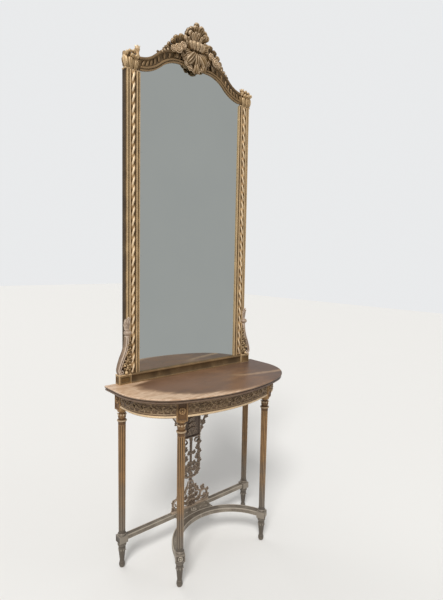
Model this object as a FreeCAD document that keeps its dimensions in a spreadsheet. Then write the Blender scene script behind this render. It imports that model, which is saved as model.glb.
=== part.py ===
"""Carved pier table with its tall pier glass, as an assembly of separate pieces.

Millimetres, +Z up. The origin is on the floor at the middle of the table top's
footprint. The wall is at +Y, the bowed front of the table faces -Y.
"""
import FreeCAD, Part
import math
import os
import re

import Sketcher

Vector = FreeCAD.Vector
ACROSS = Vector(1, 0, 0)
UPWARD = Vector(0, 0, 1)

# ---------------------------------------------------------------- sizes
SIZES = [
    # table top
    ("top_height", 860, "floor to the top's upper face"),
    ("top_width", 910, "left to right over the nosing"),
    ("top_depth", 420, "wall to the middle of the bowed front"),
    ("bow_depth", 298, "front to back over the curved part of the outline"),
    ("corner_radius", 260, "rounded front corners"),
    ("nosing_height", 9, "upper moulding of the edge"),
    ("groove_height", 4, "dark quirk under the nosing"),
    ("lower_mould_height", 7, "lower moulding of the edge"),
    ("groove_inset", 6, "how far the quirk stands back"),
    ("lower_mould_inset", 3, "how far the lower moulding stands back"),
    ("nosing_round", 3, "rounding of the nosing"),
    # carcass under the top
    ("apron_overhang", 46, "top's edge to the apron's face"),
    ("apron_thickness", 20, "wood of the curved aprons"),
    ("apron_height", 75, "height of aprons and back rail"),
    ("bead_height", 10, "bead along the apron's foot"),
    ("bead_proud", 3, "how far the bead stands out"),
    ("wall_gap", 11, "legs stand this far off the wall"),
    ("rail_thickness", 20, "wood of the back rail"),
    ("tenon_length", 18, "tenons of the straight rails"),
    ("tenon_thickness", 8, "tenons of the straight rails"),
    ("tenon_shoulder", 12, "shoulder above and below a rail's tenon"),
    ("joint_clearance", 0.2, "play of a tenon or dowel in its hole"),
    ("dowel_radius", 4, "dowels between aprons and leg blocks"),
    ("dowel_reach", 14, "dowel's depth in each of its two pieces"),
    ("dowel_inset", 8, "dowel's place, from the block's middle outwards"),
    ("dowel_spacing", 34, "between the two dowels of a joint"),
    # legs
    ("front_leg_inset", 199, "side of the top to the middle of a front leg"),
    ("leg_turn", 27, "front legs turned to the bowed apron, degrees"),
    ("leg_block", 48, "square block at the head of a leg"),
    ("block_height", 91, "its height"),
    ("block_proud", 3.5, "how far the blocks stand out of the apron"),
    ("capital_height", 57, "turned neck, vase and ring under the block"),
    ("neck_radius", 14, "thinnest turning"),
    ("turn_step", 2, "step from one turned member to the next"),
    ("ring_radius", 21, "turned rings"),
    ("shaft_top_radius", 17, "fluted shaft under the capital"),
    ("shaft_foot_radius", 15, "fluted shaft above the lower block"),
    ("collar_height", 14, "turned collar on the lower block"),
    ("flute_count", 12, "flutes round a shaft"),
    ("flute_radius", 2.6, "radius of one flute"),
    ("flute_proud", 0.6, "flute's middle outside the shaft's mean radius"),
    ("flute_margin", 14, "plain wood above and below the flutes"),
    ("lower_block", 42, "square block that takes the stretchers"),
    ("lower_block_height", 32, "its height"),
    ("foot_height", 122, "floor to the lower block"),
    ("foot_ring_run", 25, "ring and neck between the lower block and the tapered foot"),
    ("peg_top_radius", 16.5, "tapered foot under its ring"),
    ("peg_foot_radius", 10, "tapered foot at the toe"),
    ("toe_radius", 13.5, "bulb of the toe"),
    ("toe_height", 26, "height of the toe"),
    ("toe_rest_radius", 9, "flat that stands on the floor"),
    ("patera_radius", 15, "rosette on an upper block"),
    ("patera_depth", 5, "its relief"),
    ("lower_patera_radius", 11, "rosette on a lower block"),
    # stretchers
    ("stretcher_height", 20, "depth of all the stretchers"),
    ("stretcher_drop", 4, "their top below the lower block's top"),
    ("stretcher_width", 40, "width of the ring-shaped arms"),
    ("ring_apex", 99, "how far back the arms' middle line reaches"),
    ("back_stretcher_width", 30, "width of the straight back stretcher"),
    ("platform_width", 200, "plate between the arms and the back stretcher"),
    # carved splat between the stretchers and the back rail
    ("splat_thickness", 18, "front to back"),
    ("splat_base_width", 236, "over the two lower volutes"),
    ("splat_sill_height", 10, "sill under the volutes"),
    ("splat_base_height", 140, "sill's foot to the post's foot"),
    ("volute_radius", 36, "outside of a lower volute"),
    ("volute_bar", 11, "width of a scroll's bar"),
    ("volute_sink", 1, "how far the volutes run into the sill"),
    ("post_radius", 9, "turned post over the base"),
    ("post_ring", 10, "height of the ring round the post"),
    ("post_head", 20, "plain head of the post"),
    ("panel_drop", 245, "apron's foot down to the panel's foot"),
    ("panel_width", 112, "width of the solid panel"),
    ("panel_lap", 30, "how far the panel runs up the back rail"),
    ("ear_reach", 118, "middle to the tip of a bracket ear"),
    ("ear_drop", 235, "height of a bracket ear under the apron"),
    ("scroll_reach", 52, "middle to the upright side scrolls"),
    ("scroll_rise", 22, "post's foot to the foot of the side scrolls"),
    # blocks under the top
    ("glue_block_size", 20, "square glue blocks on the back rail, a wider seat for the slab"),
    ("glue_block_length", 46, "their length"),
    ("glue_block_offset", 250, "middle to the outer glue blocks"),
    ("glue_block_inner", 110, "middle to the inner glue blocks"),
    # pier glass: frame
    ("plinth_half_width", 402, "middle to the plinth's end"),
    ("plinth_height", 45, "plinth that stands on the top"),
    ("plinth_depth", 37, "wall to the plinth's face"),
    ("plinth_block_width", 60, "panelled block at each end"),
    ("plinth_block_proud", 2, "how far that block stands out"),
    ("panel_margin", 8, "rim round the sunk panel"),
    ("panel_sink", 2, "depth of the sunk panel"),
    ("frame_depth", 35, "wall to the frame's face"),
    ("sight_half_width", 296, "middle to the frame's inner edge"),
    ("stile_width", 71.5, "width of an upright"),
    ("stile_edge", 9, "outer and inner beads beside the rope"),
    ("rope_width", 20, "twisted ribbon along the upright"),
    ("rope_channel", 8, "depth of the channel that holds it"),
    ("rope_inset", 27, "frame's inner edge to the channel"),
    ("lip_depth", 12, "front lip that holds the glass"),
    ("rebate_width", 8, "how far the glass goes behind the lip"),
    ("glass_height", 1334, "plinth to the glass's upper corners"),
    ("arch_rise", 89, "rise of the arched head"),
    ("arch_inset", 14, "frame's inner edge to the foot of the ogee, hidden by the corner block"),
    ("arch_turn", 185, "middle to its turning point"),
    ("arch_end", 80, "middle to the end of the ogee"),
    ("head_width", 56, "width of the arched head rail"),
    ("corner_drop", 10, "corner block's foot below the sight corner"),
    ("corner_block_height", 78, "carved corner block"),
    ("corner_block_out", 21.5, "how far it stands past the upright's outer side"),
    ("corner_block_proud", 12, "how far it stands out of the frame"),
    ("bud_inset", 17, "block's inner side to the middle of its bud"),
    ("bud_radius", 13, "its radius"),
    ("bud_height", 29, "its height"),
    # pier glass: crest
    ("crest_thickness", 24, "pierced board behind the carving"),
    ("crest_rise", 150, "head rail to the crest's tip"),
    ("crest_tip_half", 40, "half width near the tip"),
    ("crest_half_width", 205, "half width where it meets the rail"),
    ("carving_relief", 26, "how far the carving stands out"),
    ("shell_half", 49, "half width of the shell in the middle"),
    ("leaf_half", 66, "half width of the leaf that hangs over the rail"),
    ("bloom_half", 44, "half width of the bloom at the tip"),
    ("rose_offset", 104, "middle to the middle of a rose cluster"),
    ("rose_half", 48, "half width of a rose cluster"),
    # pier glass: glass and back
    ("glass_thickness", 4, "silvered plate"),
    ("glass_clearance", 0.3, "round the plate"),
    ("board_thickness", 7, "backboards"),
    ("board_split", 655, "plinth to the joint of the two backboards"),
    ("batten_thickness", 10, "battens behind the boards"),
    ("batten_height", 45, "their height"),
    ("lower_batten_rise", 215, "plinth to the lower batten"),
    ("upper_batten_rise", 1055, "plinth to the upper batten"),
    # side brackets
    ("bracket_height", 250, "plinth to the bracket's tip"),
    ("bracket_thickness", 32, "front to back"),
    ("bracket_setback", 4, "its back, off the wall"),
    ("bracket_waist", 17, "width under the knob"),
    ("bracket_heel", 45, "upright heel over the plinth"),
    ("bracket_tip", 4, "width at the tip"),
    ("knob_rise", 180, "plinth to the middle of the knob"),
    ("knob_radius", 17, "round knob"),
    # straps and wall plates
    ("strap_width", 20, "iron straps let in behind uprights and plinth"),
    ("strap_thickness", 3, "their thickness"),
    ("strap_length", 92, "their length"),
    ("strap_rise", 3, "top's face to a strap's foot"),
    ("strap_screw_spacing", 20, "between a strap's two upper screws"),
    ("plate_width", 24, "brass wall plates let into the uprights"),
    ("plate_length", 60, "their length"),
    ("plate_thickness", 2, "their thickness"),
    ("plate_drop", 59, "corner block's foot to the middle of a wall plate"),
    ("plate_screw_inset", 8, "plate's end to its screw"),
    ("plate_hole_radius", 4, "eye that hangs on a wall screw"),
    ("frame_screw_radius", 2, "screws of the straps and plates"),
    ("frame_screw_bite", 18, "their length"),
    ("cut_margin", 1, "how far a cutting tool reaches past the wood"),
]
LEVEL_WITHIN = 0.01
RIM_WITHIN = 0.5

doc = FreeCAD.newDocument("pier_table")
sheet = doc.addObject("Spreadsheet::Sheet", "Sizes")
for row, (alias, size, meaning) in enumerate(SIZES, start=1):
    sheet.set(f"A{row}", meaning)
    sheet.set(f"B{row}", str(size))
    sheet.setAlias(f"B{row}", alias)
doc.recompute()

# ---------------------------------------------------------------- worked-out places
WALL = "(top_depth / 2)"
CORNER_Y = "(bow_depth - top_depth / 2)"
FRONT_RADIUS = (f"(((top_width / 2 - corner_radius)^2 + bow_depth^2 - corner_radius^2)"
                f" / (2 * (bow_depth - corner_radius)))")
FRONT_Y = f"({FRONT_RADIUS} - top_depth / 2)"
TOP_THICKNESS = "(nosing_height + groove_height + lower_mould_height)"
UNDERSIDE = f"(top_height - {TOP_THICKNESS})"
APRON_FOOT = f"({UNDERSIDE} - apron_height)"
BLOCK_FOOT = f"({UNDERSIDE} - block_height)"
LOWER_TOP = "(foot_height + lower_block_height)"
STRETCHER_TOP = f"({LOWER_TOP} - stretcher_drop)"
STRETCHER_FOOT = f"({STRETCHER_TOP} - stretcher_height)"

FRONT_LEG_X = "(top_width / 2 - front_leg_inset)"
BACK_LEG_X = "(top_width / 2 - apron_overhang + block_proud - leg_block / 2)"
BACK_LEG_Y = f"({WALL} - wall_gap - leg_block / 2)"
BLOCK_FACE_X = f"({FRONT_LEG_X} + leg_block / 2 * sin(leg_turn))"
BLOCK_FACE_RADIUS = f"({FRONT_RADIUS} - apron_overhang + block_proud)"
FRONT_LEG_Y = (f"({FRONT_Y} - sqrt({BLOCK_FACE_RADIUS}^2 - {BLOCK_FACE_X}^2)"
               f" + leg_block / 2 * cos(leg_turn))")
RAIL_BACK = f"({WALL} - wall_gap)"
RAIL_FRONT = f"({RAIL_BACK} - rail_thickness)"
RAIL_END = f"({BACK_LEG_X} - leg_block / 2)"
APRON_MIDDLE_X = "(top_width / 2 - apron_overhang - apron_thickness / 2)"

ARM_SPAN = f"(ring_apex - {FRONT_LEG_Y})"
ARM_RADIUS = f"(({FRONT_LEG_X}^2 + {ARM_SPAN}^2) / (2 * {ARM_SPAN}))"
ARM_CENTRE_Y = f"(ring_apex - {ARM_RADIUS})"
BACK_STRETCHER_FRONT = f"({BACK_LEG_Y} - back_stretcher_width / 2)"

SPLAT_FRONT = f"({RAIL_FRONT} - splat_thickness)"
SPLAT_MIDDLE = f"({RAIL_FRONT} - splat_thickness / 2)"
POST_FOOT = f"({STRETCHER_TOP} + splat_base_height)"
SCROLL_FOOT = f"({POST_FOOT} + scroll_rise)"
PANEL_FOOT = f"({APRON_FOOT} - panel_drop)"

PLINTH_TOP = "(top_height + plinth_height)"
FRAME_FRONT = f"({WALL} - frame_depth)"
LIP_BACK = f"({FRAME_FRONT} + lip_depth)"
GLASS_BACK = f"({LIP_BACK} + glass_thickness)"
BOARD_BACK = f"({GLASS_BACK} + board_thickness)"
STILE_OUT = "(sight_half_width + stile_width)"
SIGHT_TOP = f"({PLINTH_TOP} + glass_height)"
CORNER_FOOT = f"({SIGHT_TOP} - corner_drop)"
ARCH_START = "(sight_half_width + arch_inset)"
CORNER_TOP = f"({CORNER_FOOT} + corner_block_height)"

SLOPE = f"(arch_rise / ({ARCH_START} - arch_end))"
ARCH_SIN = f"(2 * {SLOPE} / (1 + {SLOPE}^2))"
ARCH_COS = f"((1 - {SLOPE}^2) / (1 + {SLOPE}^2))"
HOLLOW_RADIUS = f"(({ARCH_START} - arch_turn) / {ARCH_SIN})"
ROUND_RADIUS = f"((arch_turn - arch_end) / {ARCH_SIN})"
TURN_Z = f"({SIGHT_TOP} + {HOLLOW_RADIUS} * (1 - {ARCH_COS}))"
ARCH_TOP = f"({SIGHT_TOP} + arch_rise)"
CREST_TIP = f"({ARCH_TOP} + head_width + crest_rise)"
MIDDLE_SPLIT = f"({PLINTH_TOP} + board_split)"


def rule(text):
    """The text with each size's name written as a cell of the sheet."""
    return re.sub(r"[a-z]+(_[a-z]+)+", r"Sizes.\g<0>", str(text))


def value(text):
    """What a rule gives with the sheet's present sizes."""
    return float(sheet.evalExpression(rule(text)))


def bind(thing, rules):
    """Ties each named property of a thing to a rule."""
    for name, text in rules.items():
        thing.setExpression(name, rule(text))


def place(thing, x="0", y="0", z="0", turn="0", axis=UPWARD):
    """Puts a thing at a place worked out from the sheet, turned about an axis."""
    thing.Placement = FreeCAD.Placement(Vector(), FreeCAD.Rotation(axis, 1))
    bind(thing, {"Placement.Base.x": x, "Placement.Base.y": y, "Placement.Base.z": z,
                 "Placement.Rotation.Angle": turn})
    return thing


def box(label, low, high):
    """An upright box between two corners."""
    thing = doc.addObject("Part::Box", label)
    thing.Label = label
    bind(thing, {side: f"({b}) - ({a})"
                 for side, a, b in zip(("Length", "Width", "Height"), low, high)})
    return place(thing, *low)


def turned_box(label, x, y, size, low_z, high_z, turn, margin="0"):
    """A square block round a middle line, turned about it, with a margin in front."""
    thing = doc.addObject("Part::Box", label)
    thing.Label = label
    bind(thing, {"Length": size, "Width": f"({size}) + ({margin})", "Height": f"({high_z}) - ({low_z})"})
    half, front = f"({size}) / 2", f"(({size}) / 2 + ({margin}))"
    corner_x = f"({x}) - {half} * cos({turn}) + {front} * sin({turn})"
    corner_y = f"({y}) - {half} * sin({turn}) - {front} * cos({turn})"
    return place(thing, corner_x, corner_y, low_z, turn)


def rod(label, start, length, radius, axis, quarter):
    """A round rod that starts at a point and runs along X, Y or Z."""
    thing = doc.addObject("Part::Cylinder", label)
    thing.Label = label
    bind(thing, {"Radius": radius, "Height": length})
    return place(thing, *start, turn=quarter, axis=axis)


def rod_up(label, start, length, radius):
    return rod(label, start, length, radius, UPWARD, "0")


def rod_back(label, start, length, radius):
    """A rod along +Y."""
    return rod(label, start, length, radius, ACROSS, "-90")


def joined(label, pieces):
    thing = doc.addObject("Part::MultiFuse", label)
    thing.Label = label
    thing.Shapes = pieces
    return thing


def grouped(label, pieces):
    """Several separate solids in one named piece."""
    thing = doc.addObject("Part::Compound", label)
    thing.Label = label
    thing.Links = pieces
    return thing


def cut(label, base, tools):
    """The base without what its tools take up."""
    thing = doc.addObject("Part::Cut", label)
    thing.Label = label
    thing.Base = base
    thing.Tool = tools[0] if len(tools) == 1 else joined(label + "_tools", tools)
    return thing


def shared(label, first, second):
    thing = doc.addObject("Part::Common", label)
    thing.Label = label
    thing.Base = first
    thing.Tool = second
    return thing


def mirrored(label, source):
    """The same piece on the other side of the middle."""
    thing = doc.addObject("Part::Mirroring", label)
    thing.Label = label
    thing.Source = source
    thing.Base = Vector(0, 0, 0)
    thing.Normal = ACROSS
    return thing


# ---------------------------------------------------------------- sketches
def origin_plane(body, role):
    return next(item for item in body.Origin.OriginFeatures if item.Role == role)


def arc_between(start, end, radius, side):
    """An arc from start to end; side +1 keeps its centre on the left."""
    chord = end - start
    middle = (start + end) * 0.5
    left = Vector(-chord.y, chord.x, 0).normalize()
    reach = math.sqrt(max(radius * radius - chord.Length ** 2 / 4, 0.0))
    centre = middle + left * (reach * side)
    first, last = (start, end) if side > 0 else (end, start)
    begin = math.atan2(first.y - centre.y, first.x - centre.x)
    finish = math.atan2(last.y - centre.y, last.x - centre.x)
    if finish <= begin:
        finish += 2 * math.pi
    return Part.ArcOfCircle(Part.Circle(centre, UPWARD, radius), begin, finish)


def outline(body, name, role, corners, arcs=None, lift="0"):
    """A closed sketch through corners; arcs maps an edge to (radius, side)."""
    arcs = arcs or {}
    sketch = body.newObject("Sketcher::SketchObject", name)
    sketch.AttachmentSupport = [(origin_plane(body, role), "")]
    sketch.MapMode = "FlatFace"
    bind(sketch, {"AttachmentOffset.Base.z": lift})
    points = [Vector(value(x), value(y), 0) for x, y in corners]
    ends = []
    for edge, start in enumerate(points):
        end = points[(edge + 1) % len(points)]
        if edge in arcs:
            radius, side = arcs[edge]
            sketch.addGeometry(arc_between(start, end, value(radius), side), False)
            ends.append((1, 2) if side > 0 else (2, 1))
        else:
            sketch.addGeometry(Part.LineSegment(start, end), False)
            ends.append((1, 2))
    for edge in range(len(points)):
        following = (edge + 1) % len(points)
        sketch.addConstraint(Sketcher.Constraint(
            "Coincident", edge, ends[edge][1], following, ends[following][0]))
    for edge, (x, y) in enumerate(corners):
        for kind, text, size in (("DistanceX", x, points[edge].x), ("DistanceY", y, points[edge].y)):
            index = sketch.addConstraint(
                Sketcher.Constraint(kind, -1, 1, edge, ends[edge][0], size))
            sketch.setExpression(f"Constraints[{index}]", rule(text))
    for edge, (radius, side) in arcs.items():
        index = sketch.addConstraint(Sketcher.Constraint("Radius", edge, value(radius)))
        sketch.setExpression(f"Constraints[{index}]", rule(radius))
    return sketch


def new_body(label):
    body = doc.addObject("PartDesign::Body", label)
    body.Label = label
    return body


def pad(body, sketch, length):
    feature = body.newObject("PartDesign::Pad", sketch.Name + "_pad")
    feature.Profile = sketch
    bind(feature, {"Length": length})
    return feature


def slab(label, corners, arcs, foot, height):
    """A flat piece cut to a plan outline."""
    body = new_body(label)
    pad(body, outline(body, label + "_plan", "XY_Plane", corners, arcs, foot), height)
    return body


def upright_slab(label, corners, arcs, back, thickness):
    """A board cut to a front outline, its back at the given depth."""
    body = new_body(label)
    sketch = outline(body, label + "_front", "XZ_Plane", corners, arcs, f"-({back})")
    pad(body, sketch, thickness)
    return body


def turned(body, profile):
    """A turned solid about the body's upright axis, from (radius, height) corners."""
    sketch = outline(body, body.Label + "_profile", "XZ_Plane", profile)
    feature = body.newObject("PartDesign::Revolution", body.Label + "_turning")
    feature.Profile = sketch
    feature.ReferenceAxis = (sketch, ["V_Axis"])
    feature.Angle = 360
    return feature


parts = []


def keep(*pieces):
    """Lists finished pieces for the check and the export."""
    parts.extend(pieces)


# ---------------------------------------------------------------- table top
def top_plan(inset, past_wall="0"):
    """The top's outline moved in by an inset: corners and arcs."""
    half = f"(top_width / 2 - {inset})"
    share = f"(({FRONT_RADIUS} - {inset}) / ({FRONT_RADIUS} - corner_radius))"
    join_x = f"(top_width / 2 - corner_radius) * {share}"
    join_y = f"{FRONT_Y} + ({CORNER_Y} - {FRONT_Y}) * {share}"
    back = f"{WALL} + {past_wall}"
    corners = [(f"-{half}", back), (f"-{half}", CORNER_Y), (f"-({join_x})", join_y),
               (join_x, join_y), (half, CORNER_Y), (half, back)]
    corner = f"corner_radius - {inset}"
    return corners, {1: (corner, 1), 2: (f"{FRONT_RADIUS} - {inset}", 1), 3: (corner, 1)}


def make_top():
    body = new_body("table_top")
    layers = (("nosing", "0", "top_height - nosing_height", "nosing_height"),
              ("quirk", "groove_inset", f"{UNDERSIDE} + lower_mould_height", "groove_height"),
              ("lower_mould", "lower_mould_inset", UNDERSIDE, "lower_mould_height"))
    for name, inset, foot, height in layers:
        corners, arcs = top_plan(inset)
        pad(body, outline(body, name, "XY_Plane", corners, arcs, foot), height)
    doc.recompute()
    nosing = body.Tip
    top, wall, foot = value("top_height"), value(WALL), value("top_height - nosing_height")
    edges = []
    for number, edge in enumerate(nosing.Shape.Edges, start=1):
        bounds = edge.BoundBox
        level = bounds.ZMax - bounds.ZMin < LEVEL_WITHIN
        outer = bounds.YMin < wall - LEVEL_WITHIN
        upper = abs(bounds.ZMin - top) < LEVEL_WITHIN
        lower = abs(bounds.ZMin - foot) < LEVEL_WITHIN and on_rim(bounds)
        if level and outer and (upper or lower):
            edges.append(f"Edge{number}")
    rounding = body.newObject("PartDesign::Fillet", "nosing_rounding")
    rounding.Base = (nosing, edges)
    bind(rounding, {"Radius": "nosing_round"})
    return body


def on_rim(bounds):
    """True for an edge on the top's full outline, not on the quirk's."""
    side = max(abs(bounds.XMin), abs(bounds.XMax)) > value("top_width / 2") - RIM_WITHIN
    front = bounds.YMin < -value("top_depth / 2") + RIM_WITHIN
    return side or front


# ---------------------------------------------------------------- legs
def leg_profile():
    """Half section of the turned parts, from the block down to the floor."""
    def below(share):
        return f"{BLOCK_FOOT} - capital_height * {share}"

    def collar(share):
        return f"{LOWER_TOP} + collar_height * {share}"

    def under(share):
        return f"foot_height - foot_ring_run * {share}"

    broad, broader = "ring_radius - turn_step / 2", "neck_radius + turn_step"
    return [
        ("0", BLOCK_FOOT), (broader, BLOCK_FOOT), ("ring_radius", below(0.07)),
        ("ring_radius", below(0.15)), ("neck_radius", below(0.23)),
        (broad, below(0.45)), (broad, below(0.6)),
        ("neck_radius + turn_step / 2", below(0.76)), ("ring_radius", below(0.84)),
        ("ring_radius", below(0.93)), ("shaft_top_radius", below(1)),
        ("shaft_foot_radius", collar(1)),
        ("ring_radius - turn_step", collar(0.8)), ("ring_radius - turn_step", collar(0.4)),
        (broader, LOWER_TOP), (broader, "foot_height"), (broad, under(0.2)), (broad, under(0.52)),
        ("peg_top_radius - turn_step", under(0.68)), ("peg_top_radius", under(1)),
        ("peg_foot_radius", "toe_height + turn_step * 2"),
        ("peg_foot_radius + turn_step * 0.75", "toe_height"),
        ("toe_radius", "toe_height * 0.6"), ("toe_radius", "toe_height * 0.35"),
        ("toe_rest_radius", "0"), ("0", "0"),
    ]


def square(body, name, size, foot, height):
    half = f"{size} / 2"
    corners = [(f"-{half}", f"-{half}"), (half, f"-{half}"), (half, half), (f"-{half}", half)]
    return pad(body, outline(body, name, "XY_Plane", corners, None, foot), height)


def make_leg(label, x, y, turn):
    """One leg: two square blocks on a fluted turning."""
    body = new_body(label)
    turned(body, leg_profile())
    square(body, label + "_head", "leg_block", BLOCK_FOOT, "block_height")
    square(body, label + "_lower", "lower_block", "foot_height", "lower_block_height")
    doc.recompute()
    sketch = body.newObject("Sketcher::SketchObject", label + "_flute")
    sketch.AttachmentSupport = [(origin_plane(body, "XY_Plane"), "")]
    sketch.MapMode = "FlatFace"
    bind(sketch, {"AttachmentOffset.Base.z": f"{BLOCK_FOOT} - capital_height - flute_margin"})
    reach = "(shaft_top_radius + shaft_foot_radius) / 2 + flute_proud"
    middle = Vector(value(reach), 0, 0)
    sketch.addGeometry(Part.Circle(middle, UPWARD, value("flute_radius")), False)
    for kind, ends, text in (("DistanceX", (-1, 1, 0, 3), reach), ("DistanceY", (-1, 1, 0, 3), "0"),
                             ("Radius", (0,), "flute_radius")):
        index = sketch.addConstraint(Sketcher.Constraint(kind, *ends, value(text)))
        sketch.setExpression(f"Constraints[{index}]", rule(text))
    flute = body.newObject("PartDesign::Pocket", label + "_one_flute")
    flute.Profile = sketch
    run = f"{BLOCK_FOOT} - capital_height - {LOWER_TOP} - collar_height - 2 * flute_margin"
    bind(flute, {"Length": run})
    ring = body.newObject("PartDesign::PolarPattern", label + "_flutes")
    ring.Originals = [flute]
    ring.Axis = (origin_plane(body, "Z_Axis"), [""])
    ring.Angle = 360
    bind(ring, {"Occurrences": "flute_count"})
    body.Tip = ring
    return place(body, x, y, "0", turn)


def make_patera(label, half_block, radius, x, y, z, turn):
    """A turned rosette on the face of a block."""
    body = new_body(label)
    face = f"-({half_block})"
    rim = f"{face} - patera_depth * 0.5"
    tip = f"{face} - patera_depth"
    profile = [("0", face), (radius, face), (radius, rim), (f"{radius} * 0.7", rim),
               (f"{radius} * 0.45", tip), ("0", tip)]
    sketch = outline(body, label + "_profile", "XY_Plane", profile)
    feature = body.newObject("PartDesign::Revolution", label + "_turning")
    feature.Profile = sketch
    feature.ReferenceAxis = (sketch, ["V_Axis"])
    feature.Angle = 360
    return place(body, x, y, z, turn)


# ---------------------------------------------------------------- aprons
def band(label, face_inset, thickness, foot, height):
    """A strip that follows the top's outline all round the front."""
    body = new_body(label)
    corners, arcs = top_plan(face_inset)
    pad(body, outline(body, label + "_face", "XY_Plane", corners, arcs, foot), height)
    doc.recompute()
    corners, arcs = top_plan(f"({face_inset} + {thickness})", past_wall="wall_gap")
    inside = outline(body, label + "_inside", "XY_Plane", corners, arcs, f"{foot} + {height}")
    hollow = body.newObject("PartDesign::Pocket", label + "_hollow")
    hollow.Profile = inside
    bind(hollow, {"Length": height})
    return body


def block_tools(label):
    """The room that the right-hand leg blocks take up."""
    front = turned_box(label + "_front", FRONT_LEG_X, FRONT_LEG_Y, "leg_block",
                       BLOCK_FOOT, UNDERSIDE, "leg_turn", "apron_thickness")
    back = turned_box(label + "_back", BACK_LEG_X, BACK_LEG_Y, "leg_block",
                      BLOCK_FOOT, UNDERSIDE, "0")
    return front, back


def dowel_rows(label, radius, slack):
    """The dowels of the right-hand joints, or their holes with some slack."""
    level = f"({UNDERSIDE} - apron_height / 2)"
    reach = f"(dowel_reach + {slack})"
    front_side, back_side, side_back = [], [], []
    for number, share in enumerate(("-0.5", "0.5")):
        z = f"{level} + dowel_spacing * {share}"
        for rows, sign in ((front_side, "-1"), (back_side, "1")):
            along = f"({sign} * leg_block / 2 - {reach})"
            x = f"{FRONT_LEG_X} + {along} * cos(leg_turn) + dowel_inset * sin(leg_turn)"
            y = f"{FRONT_LEG_Y} + {along} * sin(leg_turn) - dowel_inset * cos(leg_turn)"
            name = f"{label}_{'inner' if rows is front_side else 'outer'}_{number}"
            dowel = doc.addObject("Part::Cylinder", name)
            bind(dowel, {"Radius": radius, "Height": f"2 * {reach}"})
            lying = FreeCAD.Rotation(Vector(0, 1, 0), 90)
            dowel.Placement = FreeCAD.Placement(Vector(), lying)
            carrier = doc.addObject("Part::Compound", name + "_turned")
            carrier.Links = [dowel]
            rows.append(place(carrier, x, y, z, "leg_turn"))
        start = (APRON_MIDDLE_X, f"{BACK_LEG_Y} - leg_block / 2 - {reach}", z)
        side_back.append(rod_back(f"{label}_back_{number}", start, f"2 * {reach}", radius))
    return front_side, back_side, side_back


# ---------------------------------------------------------------- scrolls
def scroll_bar(label, x, z, radius, bar, start, sweep, front, thickness):
    """Part of a flat ring that faces the front; its angle runs from +X towards +Z."""
    ends = []
    for name, size in (("_rim", f"{radius} + {bar} / 2"), ("_eye", f"{radius} - {bar} / 2")):
        disc = doc.addObject("Part::Cylinder", label + name)
        bind(disc, {"Radius": size, "Height": thickness, "Angle": sweep})
        disc.Placement = FreeCAD.Placement(Vector(), FreeCAD.Rotation(UPWARD, -start - sweep))
        carrier = doc.addObject("Part::Compound", label + name + "_stood")
        carrier.Links = [disc]
        ends.append(place(carrier, x, front, z, "-90", ACROSS))
    return cut(label, ends[0], [ends[1]])


# ---------------------------------------------------------------- pier glass outlines
def arch(offset, end_x):
    """The head's ogee moved up by an offset: corners from the middle to end_x, and radii."""
    hollow = f"({HOLLOW_RADIUS} - {offset})"
    rounded = f"({ROUND_RADIUS} + {offset})"
    end_z = f"{SIGHT_TOP} + {HOLLOW_RADIUS} - sqrt({hollow}^2 - ({ARCH_START} - {end_x})^2)"
    corners = [("0", f"{ARCH_TOP} + {offset}"), ("arch_end", f"{ARCH_TOP} + {offset}"),
               (f"arch_turn + {offset} * {ARCH_SIN}", f"{TURN_Z} + {offset} * {ARCH_COS}"),
               (end_x, end_z)]
    return corners, rounded, hollow


def head_half(label, low_offset, back, thickness):
    """Right half of an arched strip, from a low offset to the head's full width."""
    low, low_round, low_hollow = arch(low_offset, "sight_half_width")
    high, high_round, high_hollow = arch("head_width", "sight_half_width")
    corners = low + high[::-1]
    arcs = {1: (low_round, -1), 2: (low_hollow, 1), 4: (high_hollow, -1), 5: (high_round, 1)}
    return upright_slab(label, corners, arcs, back, thickness)


def plate_half(label, offset, half_width, foot, top_cut, back, thickness):
    """Right half of the glass or a backboard; top_cut ends it level below the arch."""
    if top_cut:
        corners = [("0", foot), (half_width, foot), (half_width, top_cut), ("0", top_cut)]
        return upright_slab(label, corners, None, back, thickness)
    top, rounded, hollow = arch(offset, half_width)
    corners = [("0", foot), (half_width, foot)] + top[::-1]
    return upright_slab(label, corners, {2: (hollow, -1), 3: (rounded, 1)}, back, thickness)


def both_halves(label, half):
    return joined(label, [half, mirrored(label + "_other_half", half)])


def boss(label, x, z, half_x, half_z):
    """A carved cluster as a low dome on the face of the frame."""
    dome = doc.addObject("Part::Ellipsoid", label + "_dome")
    bind(dome, {"Radius1": half_z, "Radius2": half_x, "Radius3": "carving_relief"})
    place(dome, x, FRAME_FRONT, z)
    reach = f"({half_x} + {half_z})"
    room = box(label + "_room", (f"{x} - {reach}", f"{FRAME_FRONT} - carving_relief - cut_margin",
                                 f"{z} - {reach}"), (f"{x} + {reach}", FRAME_FRONT, f"{z} + {reach}"))
    return shared(label, dome, room)


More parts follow.
